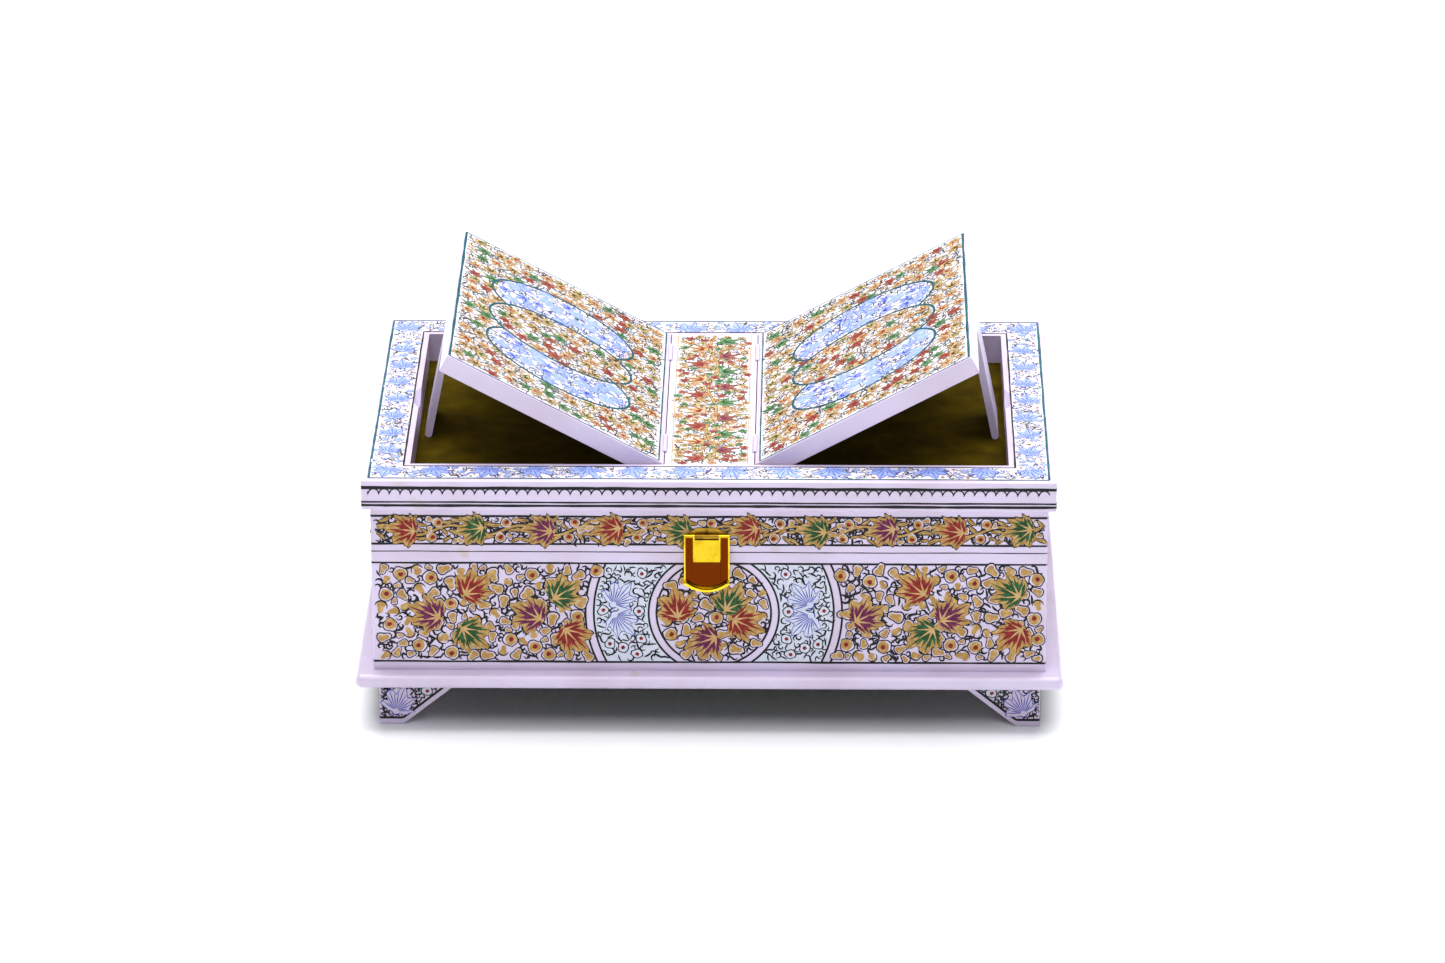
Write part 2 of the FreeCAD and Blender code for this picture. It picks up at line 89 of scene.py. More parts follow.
def add_node(
    material: bpy.types.Material,
    kind: str,
    values: dict | None = None,
    links: dict | None = None,
    **settings: object,
) -> bpy.types.Node:
    """Add one shader node.

    Args:
        material: the material that gets the node.
        kind: Blender's name of the node type.
        values: fixed socket values by socket name or number.
        links: output sockets that feed this node, by socket name or number.
        settings: the node's own properties.

    Returns:
        The new node.
    """
    node = material.node_tree.nodes.new(kind)
    for name, value in settings.items():
        setattr(node, name, value)
    for key, value in (values or {}).items():
        node.inputs[key].default_value = value
    for key, source in (links or {}).items():
        material.node_tree.links.new(source, node.inputs[key])
    return node


def per_metre(size_mm: float) -> float:
    """Texture scale whose features are size_mm wide on Object coordinates."""
    return 1.0 / (size_mm * MM)


def blank_material(name: str) -> tuple[bpy.types.Material, bpy.types.NodeSocket]:
    """Make an empty node material.

    Args:
        name: the material's name.

    Returns:
        The material and its Object coordinates.
    """
    material = bpy.data.materials.new(name)
    material.use_nodes = True
    material.node_tree.nodes.clear()
    return material, add_node(material, "ShaderNodeTexCoord").outputs["Object"]


def add_noise(
    material: bpy.types.Material, spot: bpy.types.NodeSocket, size_mm: float, detail: float = 2.0
) -> bpy.types.NodeSocket:
    """Add a noise value whose features are size_mm wide."""
    values = {"Scale": per_metre(size_mm), "Detail": detail}
    return add_node(material, "ShaderNodeTexNoise", values, {"Vector": spot}).outputs["Fac"]


def add_ramp(
    material: bpy.types.Material, source: bpy.types.NodeSocket, low: str, high: str,
    start: float = 0.0, end: float = 1.0,
) -> bpy.types.NodeSocket:
    """Blend two colours along a value.

    Args:
        material: the material.
        source: the value.
        low: sRGB hex colour up to start.
        high: sRGB hex colour from end on.
        start: value where the blend begins.
        end: value where it ends.

    Returns:
        The blended colour.
    """
    ramp = add_node(material, "ShaderNodeValToRGB", links={"Fac": source})
    for i, (colour, position) in enumerate(((low, start), (high, end))):
        ramp.color_ramp.elements[i].color = linear(colour)
        ramp.color_ramp.elements[i].position = position
    return ramp.outputs["Color"]


def add_range(
    material: bpy.types.Material, source: bpy.types.NodeSocket, start: float, end: float,
    low: float = 0.0, high: float = 1.0,
) -> bpy.types.NodeSocket:
    """Map a value so that start gives low and end gives high."""
    values = {"From Min": start, "From Max": end, "To Min": low, "To Max": high}
    return add_node(material, "ShaderNodeMapRange", values, {"Value": source}).outputs[0]


def add_tint(
    material: bpy.types.Material, tint: str, mask: bpy.types.NodeSocket, base: bpy.types.NodeSocket
) -> bpy.types.NodeSocket:
    """Lay an sRGB hex colour over another colour where a mask is 1."""
    values, links = {7: linear(tint)}, {0: mask, 6: base}
    return add_node(material, "ShaderNodeMix", values, links, data_type="RGBA").outputs[2]


def add_math(
    material: bpy.types.Material, operation: str, one: bpy.types.NodeSocket, other: bpy.types.NodeSocket
) -> bpy.types.NodeSocket:
    """Join two values."""
    links = {0: one, 1: other}
    return add_node(material, "ShaderNodeMath", links=links, operation=operation).outputs[0]


def add_bump(
    material: bpy.types.Material, height: bpy.types.NodeSocket, strength: float, depth_mm: float
) -> bpy.types.NodeSocket:
    """Turn a value to fine bumps of the surface."""
    values = {"Strength": strength, "Distance": depth_mm * MM}
    return add_node(material, "ShaderNodeBump", values, {"Height": height}).outputs[0]


def close_material(material: bpy.types.Material, shader: bpy.types.Node) -> bpy.types.Material:
    """Link a shader to the material's output.

    Args:
        material: the material.
        shader: its finished shader node.

    Returns:
        The same material.
    """
    add_node(material, "ShaderNodeOutputMaterial", links={"Surface": shader.outputs[0]})
    return material


# ---------------------------------------------------------------- finishes


@dataclass(frozen=True)
class BrushedLacquer:
    """Spirit lacquer brushed over gesso on wood.

    It gives a pale lilac satin coat with faint brush ridges, cloudy yellowing and a few old stains.
    """

    name: str = "spirit_lacquer_brushed"
    coat: str = "CFC3DD"
    aged: str = "C6B8CF"
    stain_and_shade: str = "B79F77"
    cloud_mm: float = 38.0
    stain_mm: float = 17.0
    ridge_mm: float = 0.9

    def make(self) -> bpy.types.Material:
        """Build the node material."""
        m, spot = blank_material(self.name)
        cloud = add_noise(m, spot, self.cloud_mm, 4.0)
        stains = add_range(m, add_noise(m, spot, self.stain_mm), 0.69, 0.78, 0.0, 0.5)
        coat = add_ramp(m, cloud, self.aged, self.coat, 0.34, 0.58)
        stretch = add_node(m, "ShaderNodeMapping", {"Scale": (0.06, 1.0, 1.0)}, {"Vector": spot})
        ridges = add_noise(m, stretch.outputs[0], self.ridge_mm)
        shader = add_node(
            m, "ShaderNodeBsdfPrincipled",
            {"IOR": 1.5, "Coat Weight": 0.25, "Coat Roughness": 0.22, "Coat IOR": 1.5},
            {
                "Base Color": add_tint(m, self.stain_and_shade, stains, coat),
                "Roughness": add_range(m, cloud, 0.0, 1.0, 0.28, 0.44),
                "Normal": add_bump(m, ridges, 0.16, 0.05),
            },
        )
        return close_material(m, shader)


@dataclass(frozen=True)
class UndersidePaintedShade:
    """The same lacquered plate, left bare and stained dark below.

    It gives a lilac edge and top, and a matt near-black underside: painted shade that darkens the floor
    in the gap below.
    """

    name: str = "plate_stained_underneath"
    # colour of the near-black underside: painted shade
    stain_and_shade: str = "1C1612"
    level: float = 23.5

    def make(self) -> bpy.types.Material:
        """Build the node material from the lacquer."""
        m = BrushedLacquer(self.name).make()
        nodes = m.node_tree.nodes
        shader = next(n for n in nodes if n.bl_idname == "ShaderNodeBsdfPrincipled")
        coat = shader.inputs["Base Color"].links[0].from_socket
        place = next(n for n in nodes if n.bl_idname == "ShaderNodeTexCoord")
        parts = add_node(m, "ShaderNodeSeparateXYZ", links={"Vector": place.outputs["Object"]})
        # 1 below the plate's underside level, where the painted shade goes
        below = add_range(
            m, parts.outputs["Z"], (self.level + 0.1) * MM, (self.level + 0.3) * MM, 1.0, 0.0
        )
        m.node_tree.links.new(add_tint(m, self.stain_and_shade, below, coat), shader.inputs["Base Color"])
        return m


@dataclass(frozen=True)
class VarnishedGouache:
    """Gouache laid with a fine brush and sealed with varnish.

    It gives a dense colour whose strength drifts along each stroke, under a soft shine.
    """

    name: str
    colour: str
    thin: str
    drift_mm: float = 2.2

    def make(self) -> bpy.types.Material:
        """Build the node material."""
        m, spot = blank_material(f"varnished_gouache_{self.name}")
        drift = add_noise(m, spot, self.drift_mm, 3.0)
        shader = add_node(
            m, "ShaderNodeBsdfPrincipled", {"Roughness": 0.5, "IOR": 1.45, "Specular IOR Level": 0.3},
            {
                "Base Color": add_ramp(m, drift, self.colour, self.thin, 0.42, 0.72),
                "Normal": add_bump(m, drift, 0.1, 0.04),
            },
        )
        return close_material(m, shader)


@dataclass(frozen=True)
class WovenVelvet:
    """Cotton velvet, woven with a cut pile and glued down.

    It gives a deep olive that turns golden at a grazing look, with pressed patches in the pile.
    """

    name: str = "cotton_velvet_cut_pile"
    deep: str = "231D00"
    raised: str = "544400"
    sheen: str = "BC9A08"
    nap_mm: float = 16.0
    pile_mm: float = 0.8  # real pile is near 0.2 mm, drawn coarser so that it shows

    def make(self) -> bpy.types.Material:
        """Build the node material."""
        m, spot = blank_material(self.name)
        nap = add_noise(m, spot, self.nap_mm, 5.0)
        pile = add_noise(m, spot, self.pile_mm, 1.0)
        blend = add_node(
            m, "ShaderNodeMath", {1: 0.3}, {0: pile, 2: nap}, operation="MULTIPLY_ADD"
        ).outputs[0]
        shader = add_node(
            m, "ShaderNodeBsdfPrincipled",
            {
                "Roughness": 0.95, "Specular IOR Level": 0.05, "Sheen Weight": 0.2,
                "Sheen Roughness": 0.45, "Sheen Tint": linear(self.sheen),
            },
            {
                "Base Color": add_ramp(m, blend, self.deep, self.raised, 0.4, 0.98),
                "Normal": add_bump(m, blend, 0.5, 0.3),
            },
        )
        return close_material(m, shader)


@dataclass(frozen=True)
class PolishedBrass:
    """Sheet brass, stamped, polished and lacquered.

    It gives a bright yellow metal. With a crease height set, red-brown is painted in the pan: below the
    crease it is a painted dark reflection, and beside the boss the pan is painted red-brown too.
    """

    name: str = "sheet_brass_polished"
    metal: str = "DFC02A"
    worn: str = "C8A41C"
    amber_and_reflection: str = "5A2404"
    rough: float = 0.14
    # with a crease height, red-brown is painted below it as a dark reflection; without one none is
    # painted
    crease: float | None = None  # height of the boss's crease; without one there is no amber
    middle: float = -1.0
    boss_half: float = 6.7
    pan_half: float = 10.5
    pan: tuple[float, float] = (76.9, 103.3)
    pan_bow: float = 0.032  # how fast the pan's foot rises away from its middle, per millimetre

    def amber_and_reflection_mask(self, m: bpy.types.Material, spot: bpy.types.NodeSocket) -> bpy.types.NodeSocket:
        """Where the red-brown goes: inside the pan, below the crease as a painted dark reflection, and
        beside the boss.

        Args:
            m: the material.
            spot: its Object coordinates.

        Returns:
            A value that is 1 there and 0 elsewhere.
        """
        parts = add_node(m, "ShaderNodeSeparateXYZ", links={"Vector": spot})
        height = parts.outputs["Z"]
        shift = add_node(
            m, "ShaderNodeMath", {1: self.middle * MM}, {0: parts.outputs["X"]}, operation="SUBTRACT"
        )
        away = add_node(
            m, "ShaderNodeMath", links={0: shift.outputs[0]}, operation="ABSOLUTE"
        ).outputs[0]

        def step(source: bpy.types.NodeSocket, start: float, end: float) -> bpy.types.NodeSocket:
            """0 at start and 1 at end, both in millimetres."""
            return add_range(m, source, start * MM, end * MM)

        # below the crease: painted dark reflection
        low = step(height, self.crease + 0.2, self.crease - 0.2)
        # beside the boss, in the pan
        beside = add_math(
            m, "MULTIPLY", step(away, self.boss_half - 0.2, self.boss_half + 0.2),
            step(height, self.pan[1] + 0.3, self.pan[1] - 0.3),
        )
        bow = add_node(
            m, "ShaderNodeMath", {1: -self.pan_bow / MM},
            {0: add_math(m, "MULTIPLY", away, away), 2: height}, operation="MULTIPLY_ADD",
        ).outputs[0]
        within = add_math(
            m, "MULTIPLY", step(away, self.pan_half + 0.2, self.pan_half - 0.2),
            step(bow, self.pan[0] - 0.3, self.pan[0] + 0.3),
        )
        return add_math(m, "MULTIPLY", add_math(m, "MAXIMUM", low, beside), within)

    def make(self) -> bpy.types.Material:
        """Build the node material."""
        m, spot = blank_material(self.name)
        wear = add_noise(m, spot, 6.0, 4.0)
        tone = add_ramp(m, wear, self.worn, self.metal, 0.35, 0.6)
        if self.crease is not None:
            # red-brown in the pan: painted dark reflection below the crease, and a darker pan beside
            # the boss
            tone = add_tint(m, self.amber_and_reflection, self.amber_and_reflection_mask(m, spot), tone)
        shader = add_node(
            m, "ShaderNodeBsdfPrincipled", {"Metallic": 1.0},
            {
                "Base Color": tone,
                "Roughness": add_range(m, wear, 0.0, 1.0, self.rough, self.rough + 0.12),
                "Normal": add_bump(m, add_noise(m, spot, 1.4), 0.06, 0.05),
            },
        )
        return close_material(m, shader)


@dataclass(frozen=True)
class DrawnSteel:
    """Steel wire, drawn and cut for hinge pins.

    It gives a grey metal with fine lines along the wire.
    """

    name: str = "steel_wire_drawn"
    bright: str = "B9BABD"
    dull: str = "86878B"

    def make(self) -> bpy.types.Material:
        """Build the node material."""
        m, spot = blank_material(self.name)
        tone = add_ramp(m, add_noise(m, spot, 0.7, 3.0), self.dull, self.bright)
        shader = add_node(
            m, "ShaderNodeBsdfPrincipled", {"Metallic": 1.0, "Roughness": 0.34}, {"Base Color": tone}
        )
        return close_material(m, shader)


class Pigment(Enum):
    """The painter's colours: material number, full strength, and where the brush ran thin."""

    GROUND = (0, "D0C3E0", "C6B7D0")
    INK = (1, "08070C", "17141C")
    OCHRE = (2, "A58042", "C6A468")
    STRAW = (3, "B8925A", "CDAE78")
    RED = (4, "740C0E", "96241E")
    PURPLE = (5, "540A38", "7A2454")
    GREEN = (6, "0F3E17", "2C6233")
    BLUE = (7, "2230A0", "3A4CBC")
    SKY = (8, "879AD4", "A9B8E6")
    MIST = (9, "C6CBDA", "D2D6E2")
    TEAL = (10, "0C4450", "22636F")
    RUST = (11, "80422E", "A2705C")
    GOLD = (12, "AA8C58", "CDB488")
    MOSS = (13, "4A7048", "7C9C74")
    SEPIA = (14, "38220F", "59402C")
    # CHALK: paler ground under the top fields, painted light for the brighter light on the tops; also a
    # pale leaf body on the top border
    CHALK = (15, "DCD8DE", "D2CED6")

    @property
    def number(self) -> int:
        """Material number on every stamp."""
        return self.value[0]


Paints = dict[Pigment, bpy.types.Material]


# ---------------------------------------------------------------- paint strokes as thin relief


def thicken(
    bm: bmesh.types.BMesh, faces: Sequence[bmesh.types.BMFace], height: float, pigment: Pigment
) -> None:
    """Give flat faces their thickness, from just inside the board up to height.

    Args:
        bm: the mesh that holds them.
        faces: flat faces at z 0.
        height: how proud the paint stands.
        pigment: its colour.
    """
    known = set(bm.faces) - set(faces)
    flat = list({v for f in faces for v in f.verts})
    bmesh.ops.translate(bm, vec=(0, 0, -BURIED), verts=flat)
    lifted = bmesh.ops.extrude_face_region(bm, geom=list(faces))["geom"]
    tops = [v for v in lifted if isinstance(v, bmesh.types.BMVert)]
    bmesh.ops.translate(bm, vec=(0, 0, height + BURIED), verts=tops)
    for face in bm.faces:
        if face not in known:
            face.material_index = pigment.number


def add_patch(
    bm: bmesh.types.BMesh, reach: Reach, segments: int, height: float, pigment: Pigment,
    at: tuple[float, float] = (0.0, 0.0), turn: float = 0.0,
) -> None:
    """Add one filled patch of colour.

    Args:
        bm: the stamp's mesh.
        reach: distance from centre to edge at an angle.
        segments: points on its edge.
        height: how proud it stands.
        pigment: its colour.
        at: its centre.
        turn: its turn in radians.
    """
    ring = bmesh.ops.create_circle(
        bm, cap_ends=True, cap_tris=False, segments=segments, radius=1.0
    )["verts"]
    for vert in ring:
        vert.co *= reach(math.atan2(vert.co.y, vert.co.x))
    move = Matrix.Translation((at[0], at[1], 0)) @ Matrix.Rotation(turn, 4, "Z")
    bmesh.ops.transform(bm, matrix=move, verts=ring)
    thicken(bm, [f for f in ring[0].link_faces], height, pigment)


def even(t: float) -> float:
    """A stroke of even width."""
    return 1.0


def brushed(t: float) -> float:
    """A stroke that swells in its middle."""
    return 0.35 + 0.65 * math.sin(math.pi * min(1.0, max(0.0, t)))


def pointed(t: float) -> float:
    """A stroke that starts wide and ends in a point."""
    return max(0.04, 1.0 - t)


def add_stroke(
    bm: bmesh.types.BMesh, path: Path, width: float, segments: int,
    height: float, pigment: Pigment, taper: Callable[[float], float] = brushed,
) -> None:
    """Add one brush stroke along a path.

    Args:
        bm: the stamp's mesh.
        path: point on the stroke's middle for 0 to 1.
        width: greatest width.
        segments: steps along it.
        height: how proud it stands.
        pigment: its colour.
        taper: share of the width for 0 to 1.
    """
    grid = bmesh.ops.create_grid(bm, x_segments=segments, y_segments=1, size=0.5)["verts"]
    for vert in grid:
        t, side = vert.co.x + 0.5, vert.co.y
        here, ahead, back = Vector(path(t)), Vector(path(t + 0.01)), Vector(path(t - 0.01))
        along = (ahead - back).normalized()
        spot = here + Vector((-along.y, along.x)) * side * width * taper(t)
        vert.co = (spot.x, spot.y, 0.0)
    thicken(bm, list({f for v in grid for f in v.link_faces}), height, pigment)


def straight(start: tuple[float, float], end: tuple[float, float]) -> Path:
    """A straight path from start to end."""
    return lambda t: (start[0] + (end[0] - start[0]) * t, start[1] + (end[1] - start[1]) * t)


def fan(base: tuple[float, float], angle: float, start: float, end: float) -> Path:
    """A straight path out from base at an angle, between two distances."""
    c, s = math.cos(angle), math.sin(angle)
    return straight((base[0] + c * start, base[1] + s * start), (base[0] + c * end, base[1] + s * end))


@dataclass(frozen=True)
class PlaneLeaf:
    """Shape of a five-lobed plane-tree leaf that fans out from its stem."""

    length: float = 14.5
    spread: float = 0.6
    teeth: float = 0.07
    notch: float = 0.64

    @property
    def base(self) -> tuple[float, float]:
        """Stem point, placed so that the leaf's middle is at the origin."""
        return (-0.46 * self.length, 0.0)

    def lobes(self) -> list[tuple[float, float]]:
        """Direction and length of each lobe."""
        inner, outer = self.spread, 2.1 * self.spread
        return [(0.0, 1.0), (inner, 0.88), (-inner, 0.85), (outer, 0.66), (-outer, 0.6)]

    def reach(self, grow: float = 0.0, teeth: float | None = None, share_of: float = 1.0) -> Reach:
        """Edge of the leaf.

        Args:
            grow: how far outside the leaf the line lies.
            teeth: size of the saw teeth as a share of the length.
            share_of: scale about the stem point.

        Returns:
            A function from angle to distance from the stem point.
        """
        bite = self.teeth if teeth is None else teeth

        def edge(angle: float) -> float:
            """Distance from the middle to the edge at an angle."""
            best = 0.13
            for direction, share in self.lobes():
                away = abs(angle - direction) / self.spread
                best = max(best, share * (1.0 - self.notch * away))
            best *= 1.0 + bite * math.sin(angle * 19.0) * (1.0 if best > 0.2 else 0.0)
            return best * self.length * share_of + grow

        return edge


def cut_mesh(name: str, strokes: Strokes) -> bpy.types.Mesh:
    """Draw strokes into a new mesh whose faces look outward."""
    bm = bmesh.new()
    strokes(bm)
    bmesh.ops.recalc_face_normals(bm, faces=bm.faces)
    mesh = bpy.data.meshes.new(name)
    bm.to_mesh(mesh)
    bm.free()
    return mesh


def make_piece(
    name: str, bm: bmesh.types.BMesh, materials: Sequence[bpy.types.Material]
) -> bpy.types.Object:
    """Turn a built mesh into an object of the scene.

    Args:
        name: the piece's name.
        bm: its mesh, which is used up.
        materials: its materials in order.

    Returns:
        The object.
    """
    mesh = bpy.data.meshes.new(name)
    bm.to_mesh(mesh)
    bm.free()
    for material in materials:
        mesh.materials.append(material)
    piece = bpy.data.objects.new(name, mesh)
    bpy.context.scene.collection.objects.link(piece)
    return piece


class StampBook:
    """The painter's repeated motifs, each cut once as a thin closed relief."""

    def __init__(self) -> None:
        """Start with nothing cut."""
        self.cut: dict[str, bpy.types.Mesh] = {}

    def store(self, name: str, draw: Strokes) -> bpy.types.Mesh:
        """Cut a motif once and keep it.

        Args:
            name: the motif's name.
            draw: adds its strokes to an empty mesh.

        Returns:
            The motif's mesh.
        """
        if name not in self.cut:
            self.cut[name] = cut_mesh(f"stamp_{name}", draw)
        return self.cut[name]

    def wobble(self, radius: float, amount: float, seed: float) -> Reach:
        """Edge of an uneven round patch."""
        def edge(angle: float) -> float:
            """Distance from the middle to the edge at an angle."""
            spot = Vector((math.cos(angle) * 1.2 + seed * 3.1, math.sin(angle) * 1.2, seed))
            return radius * (1.0 + amount * noise.noise(spot) * 1.8)
        return edge

    def island(self, size: float, kind: int, grow: float = 0.0) -> Reach:
        """Edge of an irregular petal, or of a line drawn round it."""
        def edge(angle: float) -> float:
            """Distance from the middle to the edge at an angle."""
            bend = 0.3 * math.cos(2 * angle + kind) + 0.22 * math.cos(3 * angle - 1.7 * kind)
            return size * (1.0 + bend) + grow
        return edge

    def rosette(self, kind: int, size: float = 3.9) -> bpy.types.Mesh:
        """A round flower: loose ink ring, ochre disc and a dark red dot off its middle."""
        def draw(bm: bmesh.types.BMesh) -> None:
            """Add its strokes."""
            add_patch(bm, self.wobble(size, 0.16, kind + 0.3), 14, 0.09, Pigment.INK)
            add_patch(bm, self.wobble(size - 0.6, 0.16, kind + 0.3), 14, 0.12, Pigment.GROUND)
            disc = self.wobble(size - 0.95, 0.14, kind + 7.3)
            add_patch(bm, disc, 12, 0.15, Pigment.OCHRE, (0.15, -0.1))
            add_patch(bm, self.wobble(1.25, 0.3, kind + 5.1), 8, 0.2, Pigment.RED, (0.45, -0.25))
            add_stroke(bm, straight((0.9, -0.1), (1.6, 0.3)), 0.35, 2, 0.2, Pigment.INK, pointed)
        return self.store(f"rosette_{kind}_{size}", draw)

    def pale_rosette(self, kind: int) -> bpy.types.Mesh:
        """The lune's flower: an ink ring on the pale ground with a dark red dot."""
        def draw(bm: bmesh.types.BMesh) -> None:
            """Add its strokes."""
            add_patch(bm, self.wobble(3.0, 0.2, kind + 0.7), 12, 0.11, Pigment.INK)
            add_patch(bm, self.wobble(2.4, 0.2, kind + 0.7), 12, 0.14, Pigment.MIST)
            add_patch(bm, self.wobble(1.0, 0.2, kind + 2.7), 8, 0.19, Pigment.RED)
        return self.store(f"pale_rosette_{kind}", draw)

    def berry(self, kind: int) -> bpy.types.Mesh:
        """A small rust dot."""
        def draw(bm: bmesh.types.BMesh) -> None:
            """Add its strokes."""
            add_patch(bm, self.wobble(0.95, 0.3, kind + 1.5), 8, 0.12, Pigment.RUST)
        return self.store(f"berry_{kind}", draw)

    def blob(self, kind: int, small: bool = False) -> bpy.types.Mesh:
        """An uneven ochre petal with a broken ink outline."""
        size = 1.35 if small else 2.1
        def draw(bm: bmesh.types.BMesh) -> None:
            """Add its strokes."""
            add_patch(bm, self.island(size, kind, 1.05), 14, 0.09, Pigment.INK)
            add_patch(bm, self.island(size, kind, 0.4), 14, 0.125, Pigment.GROUND)
            add_patch(bm, self.island(size, kind, 0.0), 12, 0.16, Pigment.OCHRE, (0.14, 0.1))
        return self.store(f"blob_{kind}_{small}", draw)

    def petal(self, kind: int) -> bpy.types.Mesh:
        """A bare ochre petal beside an ink stroke."""
        def draw(bm: bmesh.types.BMesh) -> None:
            """Add its strokes."""
            add_patch(bm, self.island(2.1, kind + 3), 12, 0.12, Pigment.OCHRE)
            add_stroke(
                bm, lambda t: (2.7 * math.cos(3.3 * t + kind), 2.7 * math.sin(3.3 * t + kind)),
                0.75, 6, 0.15, Pigment.INK,
            )
        return self.store(f"petal_{kind}", draw)

    def blade(self, length: float) -> bpy.types.Mesh:
        """A long ochre petal with an ink outline and a vein."""
        def bow(t: float) -> tuple[float, float]:
            """The blade's middle line."""
            return (length * (t - 0.5), 0.55 * math.sin(math.pi * t))
        def draw(bm: bmesh.types.BMesh) -> None:
            """Add its strokes."""
            add_stroke(bm, bow, 0.47 * length, 7, 0.09, Pigment.INK)
            add_stroke(bm, bow, 0.27 * length, 7, 0.14, Pigment.OCHRE)
            add_stroke(bm, lambda t: bow(0.15 + 0.5 * t), 0.4, 2, 0.18, Pigment.INK, pointed)
        return self.store(f"blade_{length}", draw)

    def curl(self, kind: int, pigment: Pigment, width: float) -> bpy.types.Mesh:
        """A short wavy brush stroke, in one of five hands."""
        shapes = (
            lambda t: (5.4 * t - 2.7, 0.9 * math.sin(6.3 * t)),
            lambda t: (1.6 * math.cos(4.2 * t), 1.6 * math.sin(4.2 * t)),
            lambda t: (4.0 * t - 2.0, 1.5 * t * t - 0.6),
            lambda t: (3.0 * t - 1.5 + 0.5 * math.sin(9 * t), 1.1 * math.cos(5.5 * t)),
            lambda t: ((2.0 - 1.5 * t) * math.cos(6.0 * t), (2.0 - 1.5 * t) * math.sin(6.0 * t)),
        )
        def draw(bm: bmesh.types.BMesh) -> None:
            """Add its strokes."""
            add_stroke(bm, shapes[kind % 5], width, 6, 0.1, pigment)
        return self.store(f"curl_{kind % 5}_{pigment.name}_{width}", draw)

    def leaf(self, dark: Pigment, length: float = 15.0) -> bpy.types.Mesh:
        """A large plane leaf: saw-toothed ink edge, ochre body, dark heart, quills and pale ribs."""
        shape = PlaneLeaf(length, notch=0.56)
        heart = PlaneLeaf(length, notch=0.34)
        base = shape.base
        def draw(bm: bmesh.types.BMesh) -> None:
            """Add its strokes."""
            add_patch(bm, shape.reach(0.7, 0.1), 72, 0.1, Pigment.INK, base)
            add_patch(bm, shape.reach(0.1), 72, 0.21, Pigment.OCHRE, base)
            add_patch(bm, heart.reach(0.0, 0.24, 0.6), 60, 0.25, dark, base)
            for i, (direction, share) in enumerate(shape.lobes()):
                for k, (off, far) in enumerate(((-0.17, 0.8), (0.19, 0.74), (0.06, 0.95))):
                    add_stroke(
                        bm, fan(base, direction + off, 0.2 * length, far * share * length),
                        0.13 * length, 3, 0.27 + 0.012 * k + 0.002 * i, dark, pointed,
                    )
                add_stroke(
                    bm, fan(base, direction, 0.0, 0.6 * share * length),
                    0.085 * length, 3, 0.32 + 0.004 * i, Pigment.STRAW, pointed,
                )
            add_stroke(
                bm, fan(base, math.pi, -0.08 * length, 0.16 * length),
                0.09 * length, 2, 0.345, Pigment.STRAW, pointed,
            )
        return self.store(f"leaf_{dark.name}_{length}", draw)

    def hatched_leaf(self, length: float, fill: Pigment, line: Pigment, hatch: int) -> bpy.types.Mesh:
        """A leaf of pale colour under fanned hatch lines."""
        shape = PlaneLeaf(length, teeth=0.1, notch=0.74)
        edge = shape.reach(-0.4, 0.0)
        def draw(bm: bmesh.types.BMesh) -> None:
            """Add its strokes."""
            add_patch(bm, shape.reach(0.4), 40, 0.12, line, shape.base)
            add_patch(bm, shape.reach(-0.15), 40, 0.16, fill, shape.base)
            for i in range(hatch):
                angle = ((i + 0.5) / hatch - 0.5) * 4.4 * shape.spread
                add_stroke(
                    bm, fan(shape.base, angle, 0.1 * length, edge(angle)),
                    0.52, 2, 0.2 + 0.001 * i, line, brushed,
                )
        return self.store(f"hatched_{length}_{fill.name}_{line.name}_{hatch}", draw)

    def curls(self, width: float, *tones: Pigment) -> list[bpy.types.Mesh]:
        """The five curls in every tone, the tones changing fastest."""
        return [self.curl(i, tone, width) for i in range(5) for tone in tones]

    def small_leaf(self, body: Pigment, dark: Pigment, length: float) -> bpy.types.Mesh:
        """A small leaf of a crowded field: body colour with three dark veins and a fine edge."""
        shape = PlaneLeaf(length, teeth=0.0, notch=0.9)
        def draw(bm: bmesh.types.BMesh) -> None:
            """Add its strokes."""
            add_patch(bm, shape.reach(0.42), 20, 0.1, Pigment.SEPIA, shape.base)
            add_patch(bm, shape.reach(), 20, 0.15, body, shape.base)
            for direction, share in shape.lobes()[:3]:
                add_stroke(
                    bm, fan(shape.base, direction + 0.1, 0.1 * length, 0.86 * share * length),
                    0.17 * length, 1, 0.19 + 0.01 * abs(direction), dark, pointed,
                )
        return self.store(f"small_{body.name}_{dark.name}_{length}", draw)

    def scallop(self, pitch: float, drop: float) -> bpy.types.Mesh:
        """One hanging arc of the cornice border with a tick at its foot."""
        def arc(t: float) -> tuple[float, float]:
            """The arc's middle line, level beyond its ends."""
            rise = 0.85 * drop * math.sin(math.pi * t) ** 0.55 if 0 <= t <= 1 else 0.0
            return (pitch * (t - 0.5), -drop + rise)

        def draw(bm: bmesh.types.BMesh) -> None:
            """Add its strokes."""
            add_stroke(bm, arc, 0.65, 8, 0.1, Pigment.INK, even)
            add_stroke(
                bm, straight((-pitch / 2, -0.72 * drop), (-pitch / 2 - 0.3, -1.4 * drop)),
                1.25, 2, 0.13, Pigment.INK, pointed,
            )

        return self.store(f"scallop_{pitch}_{drop}", draw)


